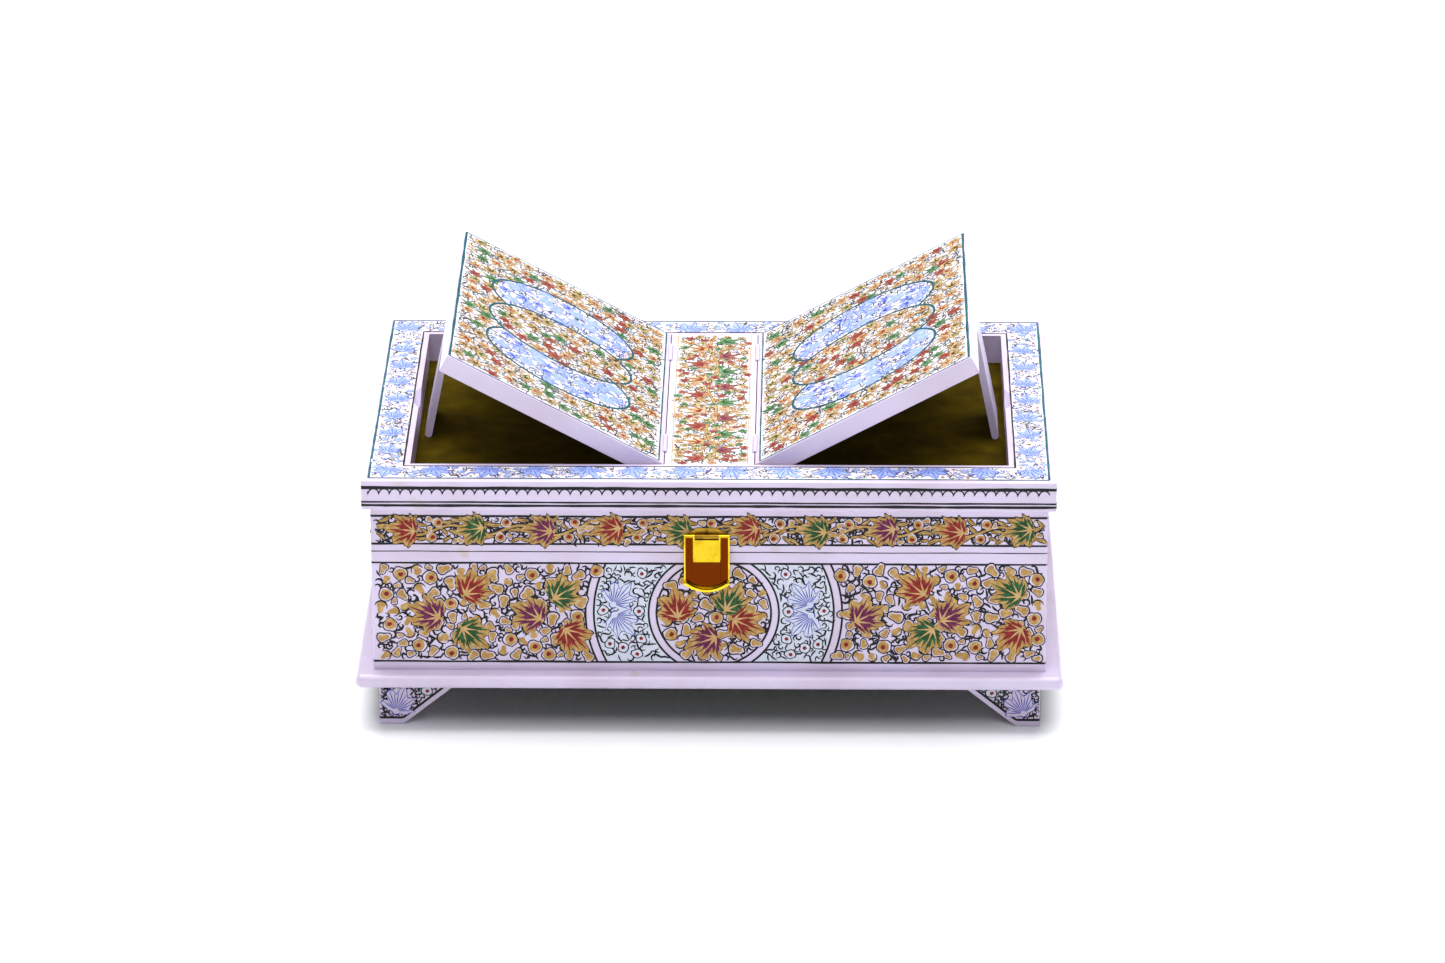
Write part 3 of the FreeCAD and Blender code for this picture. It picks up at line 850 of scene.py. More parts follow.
@dataclass
class Face:
    """A flat painted face with its own left-to-right and bottom-to-top directions."""

    origin: Vector
    across: Vector
    up: Vector

    def place(self, u: float, v: float, turn: float = 0.0, size: float = 1.0) -> Matrix:
        """Where a stamp goes on this face.

        Args:
            u: distance across.
            v: distance up.
            turn: turn in degrees.
            size: scale in the face.

        Returns:
            The matrix from stamp millimetres to the shared frame in metres.
        """
        basis = Matrix((self.across, self.up, self.across.cross(self.up))).transposed().to_4x4()
        spot = Matrix.Translation(self.origin + self.across * u + self.up * v)
        grow = Matrix.Diagonal((size, size, 1.0, 1.0))
        return Matrix.Scale(MM, 4) @ spot @ basis @ Matrix.Rotation(math.radians(turn), 4, "Z") @ grow


def level_face(level: float) -> Face:
    """The level face at a height, seen from the reader's side."""
    return Face(Vector((0, 0, level)), Vector((1, 0, 0)), Vector((0, 1, 0)))


class Side(Enum):
    """The four walls, with the direction that each faces."""

    FRONT = (0.0, -1.0)
    BACK = (0.0, 1.0)
    LEFT = (-1.0, 0.0)
    RIGHT = (1.0, 0.0)

    def face(self, half_x: float, half_y: float) -> Face:
        """The wall's outer face for a box of that half width and half depth."""
        out = Vector((self.value[0], self.value[1], 0.0))
        origin = Vector((out.x * half_x, out.y * half_y, 0.0))
        return Face(origin, Vector((-out.y, out.x, 0.0)), Vector((0.0, 0.0, 1.0)))

    def half_length(self, half_x: float, half_y: float) -> float:
        """Half the wall's length."""
        return half_x if self.value[0] == 0.0 else half_y


class Relief:
    """Paint on one body, pressed stamp by stamp into a single piece."""

    def __init__(self, name: str, body: str, slot: str) -> None:
        """Start an empty piece that will ride on a body."""
        self.name, self.body, self.slot = name, body, slot
        self.bm = bmesh.new()
        self.sheets: list[bpy.types.Mesh] = []
        self.pressed = 0

    def set_aside(self) -> None:
        """Put the pressed stamps on a finished sheet, so that the next ones go on a small one."""
        sheet = bpy.data.meshes.new("paint_sheet")
        self.bm.to_mesh(sheet)
        self.bm.free()
        self.sheets.append(sheet)
        self.bm = bmesh.new()

    def press(self, stamp: bpy.types.Mesh, where: Matrix) -> None:
        """Press one stamp at a place, a hair higher or lower than the last so that few lie flush."""
        if len(self.bm.verts) > SHEET_VERTS:
            self.set_aside()
        start = len(self.bm.verts)
        self.bm.from_mesh(stamp)
        self.bm.verts.ensure_lookup_table()
        hair = Matrix.Translation((0.0, 0.0, HAIR * (self.pressed * HAIR_STRIDE % HAIR_STEPS)))
        self.pressed += 1
        bmesh.ops.transform(self.bm, matrix=where @ hair, verts=self.bm.verts[start:])

    def draw(self, where: Matrix, strokes: Strokes) -> None:
        """Draw one-off strokes at a place."""
        mesh = cut_mesh("one_off", strokes)
        self.press(mesh, where)
        bpy.data.meshes.remove(mesh)

    def finish(self, paints: Paints) -> bpy.types.Object:
        """Turn the pressed stamps into a piece.

        Args:
            paints: the material of each pigment.

        Returns:
            The finished piece, riding on its body.
        """
        for sheet in self.sheets:
            self.bm.from_mesh(sheet)
            bpy.data.meshes.remove(sheet)
        used = sorted({f.material_index for f in self.bm.faces})
        slots = {number: i for i, number in enumerate(used)}
        for face in self.bm.faces:
            face.material_index = slots[face.material_index]
        by_number = {p.number: m for p, m in paints.items()}
        piece = make_piece(self.name, self.bm, [by_number[number] for number in used])
        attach(piece, self.body)
        LOG.info("%s: %d faces on %s", self.name, len(piece.data.polygons), self.body)
        return piece


class Scatter:
    """Keeps motifs apart while they fill a face."""

    def __init__(self, seed: int, cell: float = 8.0) -> None:
        """Start empty with a seeded hand."""
        self.chance = random.Random(seed)
        self.cell = cell
        self.spots: dict[tuple[int, int], list[tuple[float, float, float]]] = {}

    def claim(self, u: float, v: float, radius: float) -> None:
        """Take a round place."""
        reach = int(radius / self.cell) + 1
        a, b = int(u // self.cell), int(v // self.cell)
        for i in range(a - reach, a + reach + 1):
            for j in range(b - reach, b + reach + 1):
                self.spots.setdefault((i, j), []).append((u, v, radius))

    def free(self, u: float, v: float, radius: float) -> bool:
        """Whether a round place is still free."""
        near = self.spots.get((int(u // self.cell), int(v // self.cell)), [])
        return all(math.hypot(u - a, v - b) >= radius + r for a, b, r in near)

    def fill(
        self, relief: Relief, face: Face, area: Area,
        motifs: Sequence[bpy.types.Mesh], radius: float, tries: int,
        inside: Inside | None = None, sizes: tuple[float, float] = (0.8, 1.2),
        turn: Callable[[float, float], float] | None = None,
    ) -> None:
        """Fill an area with motifs.

        Args:
            relief: the piece that takes them.
            face: the face they lie on.
            area: lowest and highest u, then lowest and highest v.
            motifs: stamps to choose from.
            radius: room that each takes at full size.
            tries: places tried.
            inside: whether a place may be painted; any place if left out.
            sizes: smallest and largest scale.
            turn: each motif's turn in degrees, or any turn.
        """
        for _ in range(tries):
            u, v = self.chance.uniform(area[0], area[1]), self.chance.uniform(area[2], area[3])
            size = self.chance.uniform(*sizes)
            if (inside and not inside(u, v)) or not self.free(u, v, radius * size):
                continue
            angle = turn(u, v) if turn else self.chance.uniform(0, 360)
            relief.press(self.chance.choice(motifs), face.place(u, v, angle, size))
            self.claim(u, v, radius * size)


def top_light_wash(length: float, width: float) -> Strokes:
    """A thin chalk ground, paler than the lacquer, laid under a top field and centred on its place:
    painted light standing in for the brighter light on the tops.
    """
    return lambda bm: add_stroke(
        bm, straight((-length / 2, 0.0), (length / 2, 0.0)), width, 8, 0.03, Pigment.CHALK, even
    )


def hand_line(length: float, width: float, pigment: Pigment, seed: float) -> Strokes:
    """A long ruled line with a slight tremble, centred on its place.

    Args:
        length: its length.
        width: its width.
        pigment: its colour.
        seed: which tremble.

    Returns:
        A drawing function.
    """
    def draw(bm: bmesh.types.BMesh) -> None:
        """Add its strokes."""
        steps = max(6, int(length / 6))

        def middle(t: float) -> tuple[float, float]:
            """The line's middle."""
            return ((t - 0.5) * length, 0.16 * noise.noise(Vector((t * length / 22, seed, 0.5))))

        def taper(t: float) -> float:
            """Share of the line's width."""
            return 1.0 + 0.35 * noise.noise(Vector((t * length / 9, seed, 3.5)))

        add_stroke(bm, middle, width, steps, 0.11, pigment, taper)
    return draw


def ring_band(
    inner: float, outer: float, half_height: float, pigment: Pigment, height: float
) -> Strokes:
    """A flat ring cut off level above and below.

    Args:
        inner: inner radius.
        outer: outer radius.
        half_height: how far above and below its middle it may reach.
        pigment: its colour.
        height: how proud it stands.

    Returns:
        A drawing function.
    """
    def draw(bm: bmesh.types.BMesh) -> None:
        """Add its strokes."""
        ring = bmesh.ops.create_circle(bm, cap_ends=False, segments=96, radius=outer)["verts"]
        edges = list({e for v in ring for e in v.link_edges})
        inward = bmesh.ops.extrude_edge_only(bm, edges=edges)["geom"]
        inner_verts = [v for v in inward if isinstance(v, bmesh.types.BMVert)]
        bmesh.ops.scale(bm, vec=(inner / outer, inner / outer, 1), verts=inner_verts)
        for sign in (1, -1):
            bmesh.ops.bisect_plane(
                bm, geom=bm.verts[:] + bm.edges[:] + bm.faces[:], dist=1e-5,
                plane_co=(0, sign * half_height, 0), plane_no=(0, sign, 0), clear_outer=True,
            )
        thicken(bm, bm.faces[:], height, pigment)
    return draw


# ---------------------------------------------------------------- painted sub-assemblies


@dataclass
class BoxPainting:
    """The painted panel of each box wall: leaves, rosettes, petals and curls between ruled lines.

    Each leaf has a place across and up, and a turn in degrees; each rosette has a place.
    """

    book: StampBook
    half_x: float
    half_y: float
    low: float = 35.2
    high: float = 88.0
    inner_ring: tuple[float, float] = (28.2, 32.1)
    outer_ring: tuple[float, float] = (59.1, 63.2)
    ring_middle: float = 2.3
    leaves: tuple = (
        (Pigment.RED, -114, 76, 38), (Pigment.PURPLE, -140, 62, 155), (Pigment.GREEN, -116, 48, -42),
        (Pigment.PURPLE, -90, 62, 150), (Pigment.GREEN, -70, 73.5, 35), (Pigment.RED, -66, 47, -48),
        (Pigment.RED, 100, 77, 140), (Pigment.PURPLE, 79, 61, 28), (Pigment.GREEN, 104, 49, 215),
        (Pigment.PURPLE, 121, 62, 30), (Pigment.GREEN, 146, 75, 150), (Pigment.RED, 148, 48.5, 222),
        (Pigment.RED, -16, 67, 95), (Pigment.PURPLE, -4, 46, 200), (Pigment.GREEN, 12, 70, 60),
        (Pigment.RED, 19, 55, -25),
    )
    rosettes: tuple = (
        (-152, 82), (-137, 80), (-159, 71), (-127, 66), (-157, 55), (-143, 44), (-127, 40),
        (-87, 82), (-65, 59.5), (-98, 47), (-86, 43), (-79, 39), (-55, 84), (65, 82), (79, 79),
        (119, 82), (130, 78), (161, 80), (160, 59), (162, 48), (68, 45), (86, 44), (119, 45),
        (131, 44), (-19, 50), (3.5, 59),
    )
    lune_leaves: tuple = ((-43, 71.5, 52), (-42, 55.5, -48), (45.5, 71.5, 128), (45.5, 55.5, 228))
    lune_rosettes: tuple = (
        (33, 82.5), (52, 63), (34.5, 62.5), (33.5, 48), (49, 45), (42.5, 43), (35.5, 39.5),
    )

    short_leaves: tuple = (
        (-88, 74, 30), (-62, 60, 150), (-86, 49, -40), (-44, 79, 200), (-42, 45, 160),
        (44, 79, -20), (62, 62, 30), (42, 45, 20), (86, 76, 150), (88, 48, 210), (-14, 67, 95),
        (8, 50, -30), (15, 72, 60),
    )
    short_rosettes: tuple = (
        (-100, 62), (-72, 82), (-70, 42), (-50, 62), (100, 62), (72, 84), (74, 40), (50, 62),
        (-100, 40), (100, 84), (-4, 80), (-14, 48),
    )

    @property
    def centre(self) -> float:
        """Height of the panel's middle."""
        return (self.low + self.high) / 2

    def away(self, u: float, v: float) -> float:
        """Distance from the middle of the rings."""
        return math.hypot(u - self.ring_middle, v - self.centre)

    def in_lune(self, u: float, v: float) -> bool:
        """Whether a place lies between the two rings."""
        return self.inner_ring[1] < self.away(u, v) < self.outer_ring[0]

    def paint_lunes(self, relief: Relief, face: Face, scatter: Scatter) -> None:
        """Lay the pale ground between the rings, with its leaves and rosettes.

        Args:
            relief: the wall's paint.
            face: the wall's face.
            scatter: takes the places.
        """
        inner, outer = self.inner_ring[1] + 0.3, self.outer_ring[0] - 0.3
        half = (self.high - self.low) / 2 - 0.3
        relief.draw(
            face.place(self.ring_middle, self.centre), ring_band(inner, outer, half, Pigment.MIST, 0.06)
        )
        leaf = self.book.hatched_leaf(14.5, Pigment.MIST, Pigment.BLUE, 13)
        for u, v, turn in self.lune_leaves:
            relief.press(leaf, face.place(u, v, turn))
            scatter.claim(u, v, 5.6)
        for i, (u, v) in enumerate(self.lune_rosettes):
            for sign in (-1, 1):
                spot = sign * u + (1.0 + sign) * self.ring_middle
                relief.press(self.book.pale_rosette(i % 3), face.place(spot, v, 70 * i))
                scatter.claim(spot, v, 2.4)

    def paint(self, side: Side, paints: Paints) -> bpy.types.Object:
        """Paint one wall.

        Args:
            side: which wall.
            paints: the material of each pigment.

        Returns:
            The wall's paint as one piece.
        """
        face = side.face(self.half_x, self.half_y)
        reach = side.half_length(self.half_x, self.half_y)
        book, half = self.book, (self.high - self.low) / 2
        relief = Relief(f"box_{side.name.lower()}_painting", "box", "painted_walls")
        scatter = Scatter(31 + len(side.name))
        for v in (self.high, self.low):
            relief.draw(face.place(0, v), hand_line(2 * reach - 0.8, 1.0, Pigment.INK, v))
        long_wall = side in (Side.FRONT, Side.BACK)
        rings = (self.inner_ring, self.outer_ring) if long_wall else (self.inner_ring,)
        for ring in rings:
            for radius in ring:
                relief.draw(
                    face.place(self.ring_middle, self.centre),
                    ring_band(radius - 0.5, radius + 0.5, half, Pigment.INK, 0.1),
                )
        if long_wall:
            self.paint_lunes(relief, face, scatter)
            leaves, spots = self.leaves, self.rosettes
        else:
            dark = (Pigment.RED, Pigment.PURPLE, Pigment.GREEN)
            leaves = tuple((dark[i % 3], *spot) for i, spot in enumerate(self.short_leaves))
            spots = self.short_rosettes
        for pigment, u, v, turn in leaves:
            relief.press(book.leaf(pigment, 16.5), face.place(u, v, turn))
            scatter.claim(u, v, 6.0)
        for i, (u, v) in enumerate(spots):
            relief.press(book.rosette(i % 4), face.place(u, v, 47 * i))
            scatter.claim(u, v, 3.5)

        def in_band(u: float, v: float) -> bool:
            """Whether a place lies on one of the plain round bands."""
            return any(a - 1.6 < self.away(u, v) < b + 1.6 for a, b in rings)

        def plain(u: float, v: float) -> bool:
            """Whether a place belongs to the ochre field."""
            return not in_band(u, v) and not (long_wall and self.in_lune(u, v))

        def lune(u: float, v: float) -> bool:
            """Whether a place belongs to a lune."""
            return self.in_lune(u, v) and not in_band(u, v)

        area = (-reach + 3.4, reach - 3.4, self.low + 2.0, self.high - 2.0)
        inner = (area[0] + 0.8, area[1] - 0.8, area[2] + 1.0, area[3] - 1.0)
        petals = [book.blob(i) for i in range(7)] + [book.petal(i) for i in range(3)]
        scatter.fill(relief, face, inner, petals, 3.05, 12000, plain, (0.85, 1.25))
        scatter.fill(relief, face, area, [book.blob(i, True) for i in range(4)], 2.1, 3000, plain)
        curls = book.curls(1.05, Pigment.INK)
        scatter.fill(relief, face, area, curls, 0.85, 16000, plain, (0.85, 1.3))
        if long_wall:
            curls = book.curls(0.9, Pigment.INK)
            scatter.fill(relief, face, area, curls, 1.05, 8000, lune, (0.8, 1.15))
        return relief.finish(paints)


@dataclass
class LidFrieze:
    """The lid's narrow frieze: a leafy stem between two black lines, on all four sides."""

    book: StampBook
    half_x: float
    half_y: float
    low: float = 98.1
    high: float = 112.8
    seam: float = 94.1
    pitch: float = 33.6
    wave_turn: float = 6.283  # one wave of the stem per pitch

    def paint(self, side: Side, paints: Paints) -> bpy.types.Object:
        """Paint one side of the lid.

        Args:
            side: which side.
            paints: the material of each pigment.

        Returns:
            The side's paint as one piece.
        """
        face = side.face(self.half_x, self.half_y)
        reach, centre = side.half_length(self.half_x, self.half_y), (self.low + self.high) / 2
        relief = Relief(f"lid_{side.name.lower()}_frieze", "lid", "painted_walls")
        scatter = Scatter(61 + len(side.name), 5.0)
        for v, wide in ((self.high, 1.1), (self.low, 1.0), (self.seam, 0.4)):
            relief.draw(face.place(0, v), hand_line(2 * reach - 0.8, wide, Pigment.INK, v))

        def wave(t: float) -> tuple[float, float]:
            """The stem's middle line."""
            along = (t - 0.5) * (2 * reach - 6)
            return (along, 2.6 * math.sin(along / self.pitch * self.wave_turn))

        steps = int(reach * 0.8)
        for wide, height, pigment in ((2.6, 0.08, Pigment.INK), (1.15, 0.12, Pigment.OCHRE)):
            relief.draw(face.place(0, centre), lambda bm, w=wide, h=height, p=pigment: add_stroke(
                bm, wave, w, steps, h, p, even))
        tones = (Pigment.RED, Pigment.GREEN, Pigment.PURPLE, Pigment.RED, Pigment.GREEN)
        count = int(round(2 * reach / self.pitch))
        for i in range(count):
            u = (i + 0.5 - count / 2) * self.pitch
            turn = 189 if i % 2 else 173
            relief.press(self.book.leaf(tones[i % 5], 14.5), face.place(u, centre + 0.3, turn))
            scatter.claim(u, centre, 5.6)
        for i in range(count + 1):
            u = (i - count / 2) * self.pitch
            for du, v in ((1.5, 109.4), (-1.5, 101.6)):
                if abs(u + du) < reach - 4:
                    relief.press(self.book.rosette(i % 4, 3.3), face.place(u + du, v, 40 * i, 0.92))
                    scatter.claim(u + du, v, 2.9)
        area = (-reach + 3.0, reach - 3.0, self.low + 1.3, self.high - 1.3)
        sway = random.Random(3)
        blades = [self.book.blade(6.4), self.book.blade(5.2)]
        scatter.fill(
            relief, face, area, blades, 2.0, 2600, sizes=(0.85, 1.1),
            turn=lambda u, v: sway.uniform(-50, 50) + (180 if v > centre else 0),
        )
        blobs = [self.book.blob(i, True) for i in range(4)]
        scatter.fill(relief, face, area, blobs, 1.5, 1500, sizes=(0.8, 1.1))
        curls = self.book.curls(1.2, Pigment.INK)
        scatter.fill(relief, face, area, curls, 0.7, 8000, sizes=(0.7, 1.05))
        return relief.finish(paints)


@dataclass
class CorniceLines:
    """The ruled lines and hanging scallops along the thick top edge."""

    book: StampBook
    half_x: float
    half_y: float
    pitch: float = 5.2
    drop: float = 2.6
    hang: float = 129.2  # height that the scallops hang from
    lines: tuple = ((129.3, 1.5), (121.9, 0.8), (120.1, 1.3))  # height and width of each ruled line

    def paint(self, paints: Paints) -> bpy.types.Object:
        """Paint all four edges as one piece."""
        relief = Relief("cornice_lines", "lid", "painted_walls")
        for side in Side:
            face = side.face(self.half_x, self.half_y)
            reach = side.half_length(self.half_x, self.half_y)
            for v, wide in self.lines:
                relief.draw(face.place(0, v), hand_line(2 * reach - 0.6, wide, Pigment.INK, v + reach))
            count = int((2 * reach - 4) / self.pitch)
            chance = random.Random(5)
            for i in range(count):
                u = (i + 0.5 - count / 2) * self.pitch
                where = face.place(u, self.hang, chance.uniform(-3, 3))
                relief.press(self.book.scallop(self.pitch, self.drop), where)
        return relief.finish(paints)


@dataclass
class TopBorder:
    """The painted border round the open top: blue plane leaves and fine strokes between teal lines."""

    book: StampBook
    half_x: float
    half_y: float
    open_x: float
    open_y: float
    level: float
    outer_gap: float = 3.7
    inner_gap: float = 3.1
    pitch: float = 23.0

    def paint(self, paints: Paints) -> bpy.types.Object:
        """Paint the whole border as one piece."""
        relief = Relief("top_border_painting", "lid", "painted_top")
        face = level_face(self.level)
        ox, oy = self.half_x - self.outer_gap, self.half_y - self.outer_gap
        ix, iy = self.open_x + self.inner_gap, self.open_y + self.inner_gap
        for sign in (-1, 1):
            # pale chalk ground under the border: painted light for the brighter top
            relief.draw(face.place(0, sign * (oy + iy) / 2), top_light_wash(2 * ox, oy - iy))
            relief.draw(face.place(sign * (ox + ix) / 2, 0, 90), top_light_wash(2 * iy, ox - ix))
            relief.draw(face.place(0, sign * oy), hand_line(2 * ox, 1.1, Pigment.TEAL, 1 + sign))
            relief.draw(face.place(sign * ox, 0, 90), hand_line(2 * oy, 1.2, Pigment.TEAL, 4 + sign))
            relief.draw(face.place(0, sign * iy), hand_line(2 * ix, 0.9, Pigment.INK, 7 + sign))
            relief.draw(face.place(sign * ix, 0, 90), hand_line(2 * iy, 0.9, Pigment.INK, 9 + sign))
        scatter = Scatter(83, 6.0)
        leaf = self.book.hatched_leaf(13.5, Pigment.SKY, Pigment.BLUE, 7)
        mid_x, mid_y = (ox + ix) / 2, (oy + iy) / 2
        across, deep = int(2 * mid_x / self.pitch), int(2 * iy / self.pitch)
        for i in range(across + 1):
            u = (i - across / 2) * 2 * mid_x / across
            for sign in (-1, 1):
                turn = 90 * sign + (14 if i % 2 else -14)
                relief.press(leaf, face.place(u, sign * mid_y, turn, 0.95))
                scatter.claim(u, sign * mid_y, 4.6)
        for i in range(deep):
            v = (i + 0.5 - deep / 2) * self.pitch
            for sign in (-1, 1):
                relief.press(leaf, face.place(sign * mid_x, v, (97 if i % 2 else 75), 0.84))
                scatter.claim(sign * mid_x, v, 4.8)

        def inside(u: float, v: float) -> bool:
            """Whether a place lies between the lines."""
            outside_opening = abs(u) > ix + 1.9 or abs(v) > iy + 1.9
            return outside_opening and abs(u) < ox - 2.2 and abs(v) < oy - 2.2

        area = (-ox, ox, -oy, oy)
        small = [
            self.book.small_leaf(Pigment.SKY, Pigment.SKY, 4.2),
            self.book.small_leaf(Pigment.CHALK, Pigment.BLUE, 4.2),
        ]
        scatter.fill(relief, face, area, small, 2.6, 6000, inside)
        scatter.fill(relief, face, area, [self.book.berry(i) for i in range(2)], 2.0, 4000, inside)
        curls = self.book.curls(
            0.9, Pigment.INK, Pigment.TEAL, Pigment.SEPIA, Pigment.BLUE, Pigment.INK
        )
        scatter.fill(relief, face, area, curls, 0.78, 30000, inside, (0.65, 1.05))
        return relief.finish(paints)


class FieldPalette:
    """Small leaves of the crowded top fields."""

    WARM = (
        (Pigment.RUST, Pigment.RED), (Pigment.GOLD, Pigment.RUST), (Pigment.GOLD, Pigment.SEPIA),
        (Pigment.MOSS, Pigment.GREEN), (Pigment.GOLD, Pigment.RED), (Pigment.GOLD, Pigment.GREEN),
    )

    def __init__(self, book: StampBook) -> None:
        """Cut the palette's leaves."""
        self.warm = [book.small_leaf(a, b, 7.6) for a, b in self.WARM]
        self.cool = [
            book.hatched_leaf(9.5, Pigment.SKY, Pigment.SKY, 1),
            book.small_leaf(Pigment.SKY, Pigment.BLUE, 8.0),
            book.hatched_leaf(9.0, Pigment.SKY, Pigment.BLUE, 3),
        ]
        self.warm_curls = book.curls(
            0.75, Pigment.SEPIA, Pigment.TEAL, Pigment.INK, Pigment.OCHRE, Pigment.SEPIA
        )
        self.cool_curls = book.curls(0.75, Pigment.BLUE, Pigment.TEAL, Pigment.INK)


@dataclass
class SpineVine:
    """The vine painted along the fixed centre board."""

    book: StampBook
    palette: FieldPalette
    half_width: float
    half_length: float
    level: float
    margin: float = 3.4
    leaves: int = 16
    leaf_out: float = 8.6  # how far each leaf sits from the middle

    def paint(self, paints: Paints) -> bpy.types.Object:
        """Paint the vine as one piece."""
        relief = Relief("centre_spine_vine", "lid", "painted_top")
        face = level_face(self.level)
        wide, tall = self.half_width - self.margin, self.half_length - 1.5
        scatter = Scatter(97, 6.0)
        # pale chalk ground under the vine: painted light for the brighter top
        relief.draw(face.place(0, 0, 90), top_light_wash(2 * tall, 2 * wide))
        for sign in (-1, 1):
            relief.draw(face.place(sign * wide, 0, 90), hand_line(2 * tall, 0.45, Pigment.OCHRE, sign))

        def trunk(t: float) -> tuple[float, float]:
            """The vine's middle line."""
            return (2.2 * math.sin(t * 19), (t - 0.5) * 2 * tall)

        for thick, height, pigment in ((1.7, 0.09, Pigment.SEPIA), (1.1, 0.13, Pigment.OCHRE)):
            relief.draw(face.place(0, 0), lambda bm, w=thick, h=height, p=pigment: add_stroke(
                bm, trunk, w, 60, h, p, even))
        tones = (
            (Pigment.RUST, Pigment.RED), (Pigment.MOSS, Pigment.GREEN),
            (Pigment.GOLD, Pigment.RED), (Pigment.RUST, Pigment.PURPLE),
        )
        for i in range(self.leaves):
            u = self.leaf_out if i % 2 else -self.leaf_out
            v = (i + 0.5 - self.leaves / 2) * 2 * tall / (self.leaves + 0.4)
            stamp = self.book.small_leaf(*tones[(i * 3) % 4], 10.5)
            relief.press(stamp, face.place(u, v, 155 if u < 0 else 25))
            scatter.claim(u, v, 4.0)

        def inside(u: float, v: float) -> bool:
            """Whether a place lies inside the border."""
            return abs(u) < wide - 1.8 and abs(v) < tall - 1.5

        area = (-wide, wide, -tall, tall)
        scatter.fill(relief, face, area, self.palette.warm, 3.0, 1500, inside, (0.5, 0.7))
        scatter.fill(relief, face, area, self.palette.warm_curls, 0.9, 7000, inside, (0.7, 1.1))
        return relief.finish(paints)


@dataclass
class BookRest:
    """One tilted book board: a crowded leaf field with three overlapping ovals."""

    book: StampBook
    palette: FieldPalette
    hinge_x: float
    level: float
    length: float
    half_depth: float
    tilt: float = 28.4
    oval_shares: tuple[float, float, float] = (0.35, 0.0, -0.35)  # back, middle and front

    def face(self, sign: int) -> Face:
        """The board's top face; u runs out from the hinge, v towards the back."""
        c, s = math.cos(math.radians(self.tilt)), math.sin(math.radians(self.tilt))
        out, normal = Vector((sign * c, 0, s)), Vector((-sign * s, 0, c))
        return Face(Vector((sign * self.hinge_x, 0, self.level)), out, normal.cross(out))

    @property
    def oval_size(self) -> tuple[float, float]:
        """Half length and half width of every oval."""
        return 0.335 * self.length, 0.3 * self.half_depth

    def oval_middle(self, number: int) -> tuple[float, float]:
        """Middle of one oval."""
        return 0.51 * self.length, self.oval_shares[number] * self.half_depth * 1.08

    def oval_at(self, u: float, v: float) -> int | None:
        """Which oval a place lies in, the middle one on top.

        Args:
            u: distance out from the hinge.
            v: distance from the board's middle line.

        Returns:
            1 for the middle oval, 0 or 2 for the others, or None.
        """
        for number in (1, 0, 2):
            middle, size = self.oval_middle(number), self.oval_size
            du, dv = (u - middle[0]) / size[0], (v - middle[1]) / size[1]
            if du * du + dv * dv < 1.0:
                return number
        return None

    def outline(self, relief: Relief, face: Face, number: int) -> None:
        """Draw one oval's line where the middle oval doesn't hide it.

        Args:
            relief: the board's paint.
            face: the board's face.
            number: which oval.
        """
        (across, along), (a, b) = self.oval_middle(number), self.oval_size
        for i in range(48):
            start, end = (
                (across + a * math.cos(angle), along + b * math.sin(angle))
                for angle in (i / 48 * math.tau, (i + 1.05) / 48 * math.tau)
            )
            if number == 1 or self.oval_at(*start) != 1:
                relief.draw(face.place(0, 0), lambda bm, s=start, e=end: add_stroke(
                    bm, straight(s, e), 1.25, 1, 0.26, Pigment.TEAL, even))

    def paint(self, side: str, paints: Paints) -> bpy.types.Object:
        """Paint one board.

        Args:
            side: left or right.
            paints: the material of each pigment.

        Returns:
            The board's paint as one piece.
        """
        sign = -1 if side == "left" else 1
        face = self.face(sign)
        relief = Relief(f"{side}_leaf_painting", f"{side}_leaf", "painted_top")
        start, end, deep = 3.0, self.length - 1.0, self.half_depth - 1.0
        # pale chalk ground under the field: painted light for the brighter top
        relief.draw(face.place((start + end) / 2, 0), top_light_wash(end - start, 2 * deep))
        for v in (-deep, deep):
            relief.draw(face.place((start + end) / 2, v), hand_line(end - start, 0.9, Pigment.TEAL, v))
        for u, wide in ((start, 0.8), (end, 1.3)):
            relief.draw(face.place(u, 0, 90), hand_line(2 * deep, wide, Pigment.TEAL, u))
        for number in (0, 2, 1):
            self.outline(relief, face, number)
        scatter = Scatter(7 if sign < 0 else 8, 6.0)

        def clear(u: float, v: float, gap: float) -> bool:
            """Whether a place keeps off the oval lines."""
            here = self.oval_at(u, v)
            around = ((gap, 0), (-gap, 0), (0, gap), (0, -gap))
            return all(self.oval_at(u + x, v + y) == here for x, y in around)

        def cool(u: float, v: float, gap: float = 1.4) -> bool:
            """Whether a place belongs to a blue oval."""
            return self.oval_at(u, v) in (0, 2) and clear(u, v, gap)

        def warm(u: float, v: float, gap: float = 1.4) -> bool:
            """Whether a place belongs to the middle oval or the field."""
            return self.oval_at(u, v) in (1, None) and clear(u, v, gap)

        area = (start + 2.2, end - 2.4, -deep + 2.4, deep - 2.4)
        wide_area = (start + 4.4, end - 5.0, -deep + 5.0, deep - 5.0)
        scatter.fill(relief, face, wide_area, self.palette.cool, 4.3, 9000,
                     lambda u, v: cool(u, v) and cool(u, v, 4.4), (0.85, 1.1))
        scatter.fill(relief, face, wide_area, self.palette.warm, 3.7, 12000,
                     lambda u, v: warm(u, v) and warm(u, v, 2.6), (0.85, 1.2))
        scatter.fill(relief, face, area, self.palette.cool_curls, 0.85, 9000, cool, (0.7, 1.1))
        scatter.fill(relief, face, area, self.palette.warm_curls, 0.8, 24000, warm, (0.7, 1.1))
        return relief.finish(paints)


